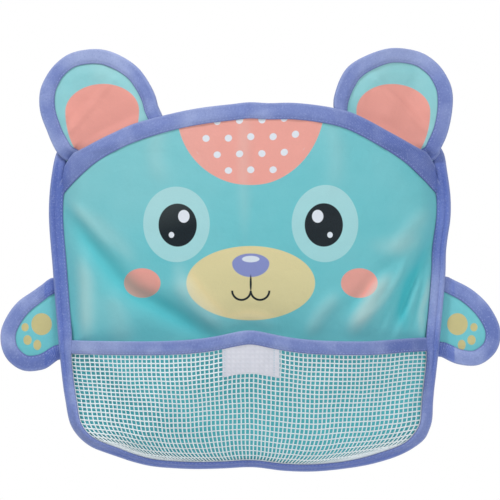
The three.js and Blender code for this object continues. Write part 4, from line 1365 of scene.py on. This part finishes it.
def ear(side):
    def soften(a, b, inside):
        at = np.stack([a, b, np.full(a.shape, 10.0 * side)], axis=-1)
        clear = smooth(inside, EAR_TAPE_LEG - 1, EAR_TAPE_LEG + 9)
        across = b - 0.42 * a
        fold = np.exp(-(((across - 14) / 3.2) ** 2)) - 0.7 * np.exp(-(((across - 22) / 4) ** 2))
        loose = (0.7 * ripple(at, 15, 6.1) + 0.9 * fold) * clear * smooth(b, -2, 12)
        return 1.5 * clear * smooth(b, 0, 26), loose

    points = [(EAR_MIDDLE + x * EAR_WIDTH, z * EAR_HEIGHT) for x, z in EAR_SHARES]
    path = even(spline(points, 12), EAR_STEP)
    return limb(
        side,
        "ear",
        ear_cloth,
        lambda a, b, off: ear_place(a, b, off, side),
        path,
        EAR_STEP,
        low=np.array([(-13.5, -9.5), (-4, -5.5), (8, -9.5), (40, -10), (68, -9.5), (76, -4)]),
        ends=(path[0] + (0.6, -9), path[-1] + (2.4, -6), path[-1] + (8, -12)),
        hub=np.array([30.0, 30.0]),
        rings=26,
        soften=soften,
        leg=EAR_TAPE_LEG,
        wave=0.25,
        seam=[(ear_origin + b * ear_away) * (-side, 1, 1) for b in (-4, 6)],
    )


def paw(side):
    joint = joints[SIDES[side] + "paw_fold"]
    origin = in_bag(joint)
    lean = math.asin(abs(joint["axis"][0]))
    along_seam = np.array([side * math.sin(lean), 0, math.cos(lean)])
    out = np.array([side * math.cos(lean), 0, -math.sin(lean)])

    def place_on(a, b, off):
        a, b, off = np.broadcast_arrays(*(np.asarray(v, float) for v in (a, b, off)))
        # the photograph's paws aren't mirror images
        if side < 0:
            flatter = 1.6 * np.exp(-(((a - 17) / 8) ** 2)) - 1.2 * (1 - smooth(a, 2, 9))
            b = b - 2.4 * smooth(-b, 4, 34) * smooth(a, -4, 12) - flatter * smooth(b, 6, 22)
            a = a + 1.2 * smooth(a, 8, 40)
        else:
            b = b + 2.2
            a = a + 2.6 * smooth(a, 4, 34)
        placed = origin + a[..., None] * out + b[..., None] * along_seam
        return placed - off[..., None] * np.array([0, 1.0, 0])

    def soften(a, b, inside):
        at = np.stack([a, b, np.full(a.shape, 7.0 * side)], axis=-1)
        clear = smooth(inside, EAR_TAPE_LEG - 1, EAR_TAPE_LEG + 7)
        return 1.2 * clear * smooth(a, 1, 14), 0.35 * ripple(at, 12, 2.9) * clear * smooth(a, 0, 8)

    points = [(x * PAW_REACH, z * PAW_HEIGHT) for x, z in PAW_SHARES]
    path = even(spline(points, 12), PAW_STEP)[::-1]
    return limb(
        side,
        "paw",
        paw_cloth,
        place_on,
        path,
        PAW_STEP,
        low=np.array([(-9, 26), (-9, 0), (-15, -25)]),
        ends=(path[0] + (-16, 0.5), path[-1] + (-8, 0.5)),
        hub=np.array([17.0, -2.0]),
        rings=18,
        soften=soften,
        leg=PAW_TAPE_LEG,
        wave=0.0,
        seam=[origin + reach * out for reach in (-3, 6)],
    )


ears = [ear(side) for side in SIDES]
paws = [paw(side) for side in SIDES]

# Suction cups and eyelets

HUB_RADIUS = 0.05
TAB_WIDTH, TAB_LENGTH, TAB_THICKNESS = 10.0, 9.5, 1.4
TAB_REAR, TAB_CORNER, TAB_EDGE = 0.3, 3.0, 0.35
TAB_OVERLAP = 1.5
EYELET_EDGE = 0.3


def lathe(name, profile, side, material, segments=72):
    """A solid turned about a cup's axis from (radius, depth) pairs."""
    turn = np.linspace(0, 2 * np.pi, segments, endpoint=False)
    around = np.stack([np.cos(turn), np.zeros(segments), np.sin(turn)], axis=1)
    points = [(side * CUP_OFFSET, -depth, HANG_HEIGHT) + r * around for r, depth in profile]
    faces = ring_faces(len(profile), segments, caps=())
    return sharpen(outward(make_object(name, np.vstack(points), faces, [material])), 40)


def cup(side):
    inside = [(HUB_RADIUS, CUP_HOLLOW), (8.4, 5.1), (16.8, 2.7), (CUP_RADIUS - 2, 0.2)]
    rim = [(CUP_RADIUS - 1.6, 0), (CUP_RADIUS - 0.4, 0), (CUP_RADIUS, 0.4)]
    outside = [
        (CUP_RADIUS, 0.7),
        (16.8, 0.55 * CUP_HEIGHT),
        (9.6, 0.85 * CUP_HEIGHT),
        (6.5, CUP_HEIGHT),
    ]
    neck = [
        (NECK_RADIUS + 0.6, CUP_HEIGHT),
        (NECK_RADIUS, CUP_HEIGHT + 0.6),
        (NECK_RADIUS, HEAD_REAR),
    ]
    head = [
        (HEAD_RADIUS, HEAD_REAR + 0.5),
        (HEAD_RADIUS, HEAD_REAR + 0.3 * HEAD_HEIGHT),
        (0.7 * HEAD_RADIUS, HEAD_REAR + 0.85 * HEAD_HEIGHT),
        (HUB_RADIUS, HEAD_REAR + HEAD_HEIGHT),
    ]
    body = [*spline(inside, 8), *rim, *spline(outside, 8), *neck, (HEAD_RADIUS - 0.4, HEAD_REAR)]
    made = lathe(SIDES[side] + "cup", [*body, *spline(head, 6)], side, cup_material)
    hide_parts(SIDES[side] + "suction_cup")
    for piece in (made, pull_tab(side)):
        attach(piece, SIDES[side] + "cup")


def pull_tab(side):
    """The rounded tab under a cup, by which it is pulled off the wall."""
    half, bend = TAB_WIDTH / 2, TAB_CORNER - TAB_LENGTH
    flat = [(-half, 0), (-half, bend)]
    for sign, start in ((-1, np.pi), (1, 1.5 * np.pi)):
        middle = sign * (half - TAB_CORNER)
        for t in np.linspace(start, start + np.pi / 2, 7):
            flat.append((middle + TAB_CORNER * np.cos(t), bend + TAB_CORNER * np.sin(t)))
    flat = np.array(flat + [(half, 0)])
    top = HANG_HEIGHT - CUP_RADIUS + TAB_OVERLAP
    rings = []
    thick = TAB_THICKNESS
    for grow, depth in ((-TAB_EDGE, 0), (0, 0.3), (0, thick - 0.3), (-TAB_EDGE, thick)):
        x, z = (flat * (1 + grow / TAB_WIDTH, 1 + grow / TAB_LENGTH)).T
        y = np.full(len(flat), -(TAB_REAR + depth))
        rings.append(np.stack([side * CUP_OFFSET + x, y, top + z], axis=1))
    faces = ring_faces(len(rings), len(flat), caps=(1, -1))
    made = make_object(SIDES[side] + "cup_tab", np.concatenate(rings), faces, [cup_material])
    return sharpen(outward(made), 40)


def eyelets(side):
    outer, soft, wide = EYELET_BORE + EYELET_WALL, EYELET_EDGE, FLANGE_RADIUS
    rear, end = FLANGE_REAR, WASHER_REAR + FLANGE
    body = [
        (EYELET_BORE + soft, rear),
        (wide - soft, rear),
        (wide, rear + soft),
        (wide, rear + FLANGE - soft),
        (wide - soft, rear + FLANGE),
        (outer, rear + FLANGE),
        (outer, end),
        (EYELET_BORE, end),
        (EYELET_BORE, rear + soft),
    ]
    inner = outer + CLEARANCE
    ring = [
        (inner, WASHER_REAR),
        (wide - soft, WASHER_REAR),
        (wide, WASHER_REAR + soft),
        (wide, end - soft),
        (wide - soft, end),
        (inner + soft, end),
        (inner, end - soft),
    ]
    kinds = (("eyelet_body", body, "eyelet"), ("eyelet_ring", ring, "eyelet_washer"))
    for name, profile, node in kinds:
        made = lathe(SIDES[side] + name, profile, side, eyelet_material)
        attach(made, "bag")
        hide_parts(SIDES[side] + node)


for side in SIDES:
    cup(side)
for side in SIDES:
    eyelets(side)


CUTTER_LENGTH = 0.02
CUTTER_MIDDLE = 0.0155


def cut_holes(obj, holes):
    """Cuts round holes along Y, each (x, height, radius), out of a flat sheet."""
    for x, height, radius in holes:
        bpy.ops.mesh.primitive_cylinder_add(
            vertices=48,
            radius=radius * MM,
            depth=CUTTER_LENGTH,
            location=(x * MM, -CUTTER_MIDDLE, (height - HANG_HEIGHT) * MM),
            rotation=(math.pi / 2, 0, 0),
        )
        tool = bpy.context.object
        cut = obj.modifiers.new("hole", "BOOLEAN")
        cut.operation = "DIFFERENCE"
        cut.solver = "EXACT"
        cut.object = tool
        depsgraph = bpy.context.evaluated_depsgraph_get()
        mesh = bpy.data.meshes.new_from_object(obj.evaluated_get(depsgraph))
        obj.modifiers.clear()
        obj.data = mesh
        bpy.data.objects.remove(tool)


cut_holes(back_cloth, back_holes)
sharpen(back_cloth, 50)

# The ears' and paws' sewn pieces, each made a list

for cloth, *sewn in ears:
    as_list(sewn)
for cloth, *sewn in paws:
    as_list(sewn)

# Floor, light and background, in metres

FLOOR_HALF = 1.4
FLOOR_HEIGHT = -0.5
WORLD_STRENGTH = 0.42
AIM = Vector((0, 0, -0.05))
LAMPS = {  # place, diameter and power
    "key": ((-0.95, -1.15, 1.85), 0.5, 30),
    "fill": ((1.2, -2.0, 0.4), 1.2, 15.5),
    "rear": ((0.6, 1.8, 0.9), 1.2, 12),
}


def stage():
    look = Look("floor")
    tint = look.noise(look.output("Object", "ShaderNodeTexCoord", {}), 2.0)
    colour = look.mix(tint, linear(244, 244, 243), linear(240, 240, 240))
    mesh = bpy.data.meshes.new("floor")
    square = ((-1, -1), (1, -1), (1, 1), (-1, 1))
    corners = [(x * FLOOR_HALF, y * FLOOR_HALF, FLOOR_HEIGHT) for x, y in square]
    mesh.from_pydata(corners, [], [(0, 1, 2, 3)])
    mesh.materials.append(look.finish(colour, 0.8))
    floor = bpy.data.objects.new("floor", mesh)
    bpy.context.collection.objects.link(floor)


def light():
    for name, (place, size, power) in LAMPS.items():
        data = bpy.data.lights.new(name, "AREA")
        data.shape, data.size, data.energy = "DISK", size, power
        lamp = bpy.data.objects.new(name, data)
        lamp.location = place
        lamp.rotation_euler = (AIM - Vector(place)).to_track_quat("-Z", "Y").to_euler()
        bpy.context.collection.objects.link(lamp)


def world():
    """Plain white to the camera and in glossy and clear surfaces, and a dimmer white as light."""
    look = Look("world", bpy.data.worlds, "Background")
    ray = look.outputs("ShaderNodeLightPath", {})
    camera_ray, glossy, clear = (
        Value(look, ray[name]) for name in ("Is Camera Ray", "Is Glossy Ray", "Is Transmission Ray")
    )
    seen = look.math("MAXIMUM", look.math("MAXIMUM", camera_ray, glossy), clear)
    strength = look.output(0, "ShaderNodeMix", {0: seen, 2: WORLD_STRENGTH, 3: 1.0})
    look.feed(look.shader.inputs["Color"], (1, 1, 1, 1))
    look.feed(look.shader.inputs["Strength"], strength)
    bpy.context.scene.world = look.owner


stage()
world()
light()
bpy.context.scene.view_settings.view_transform = "Standard"
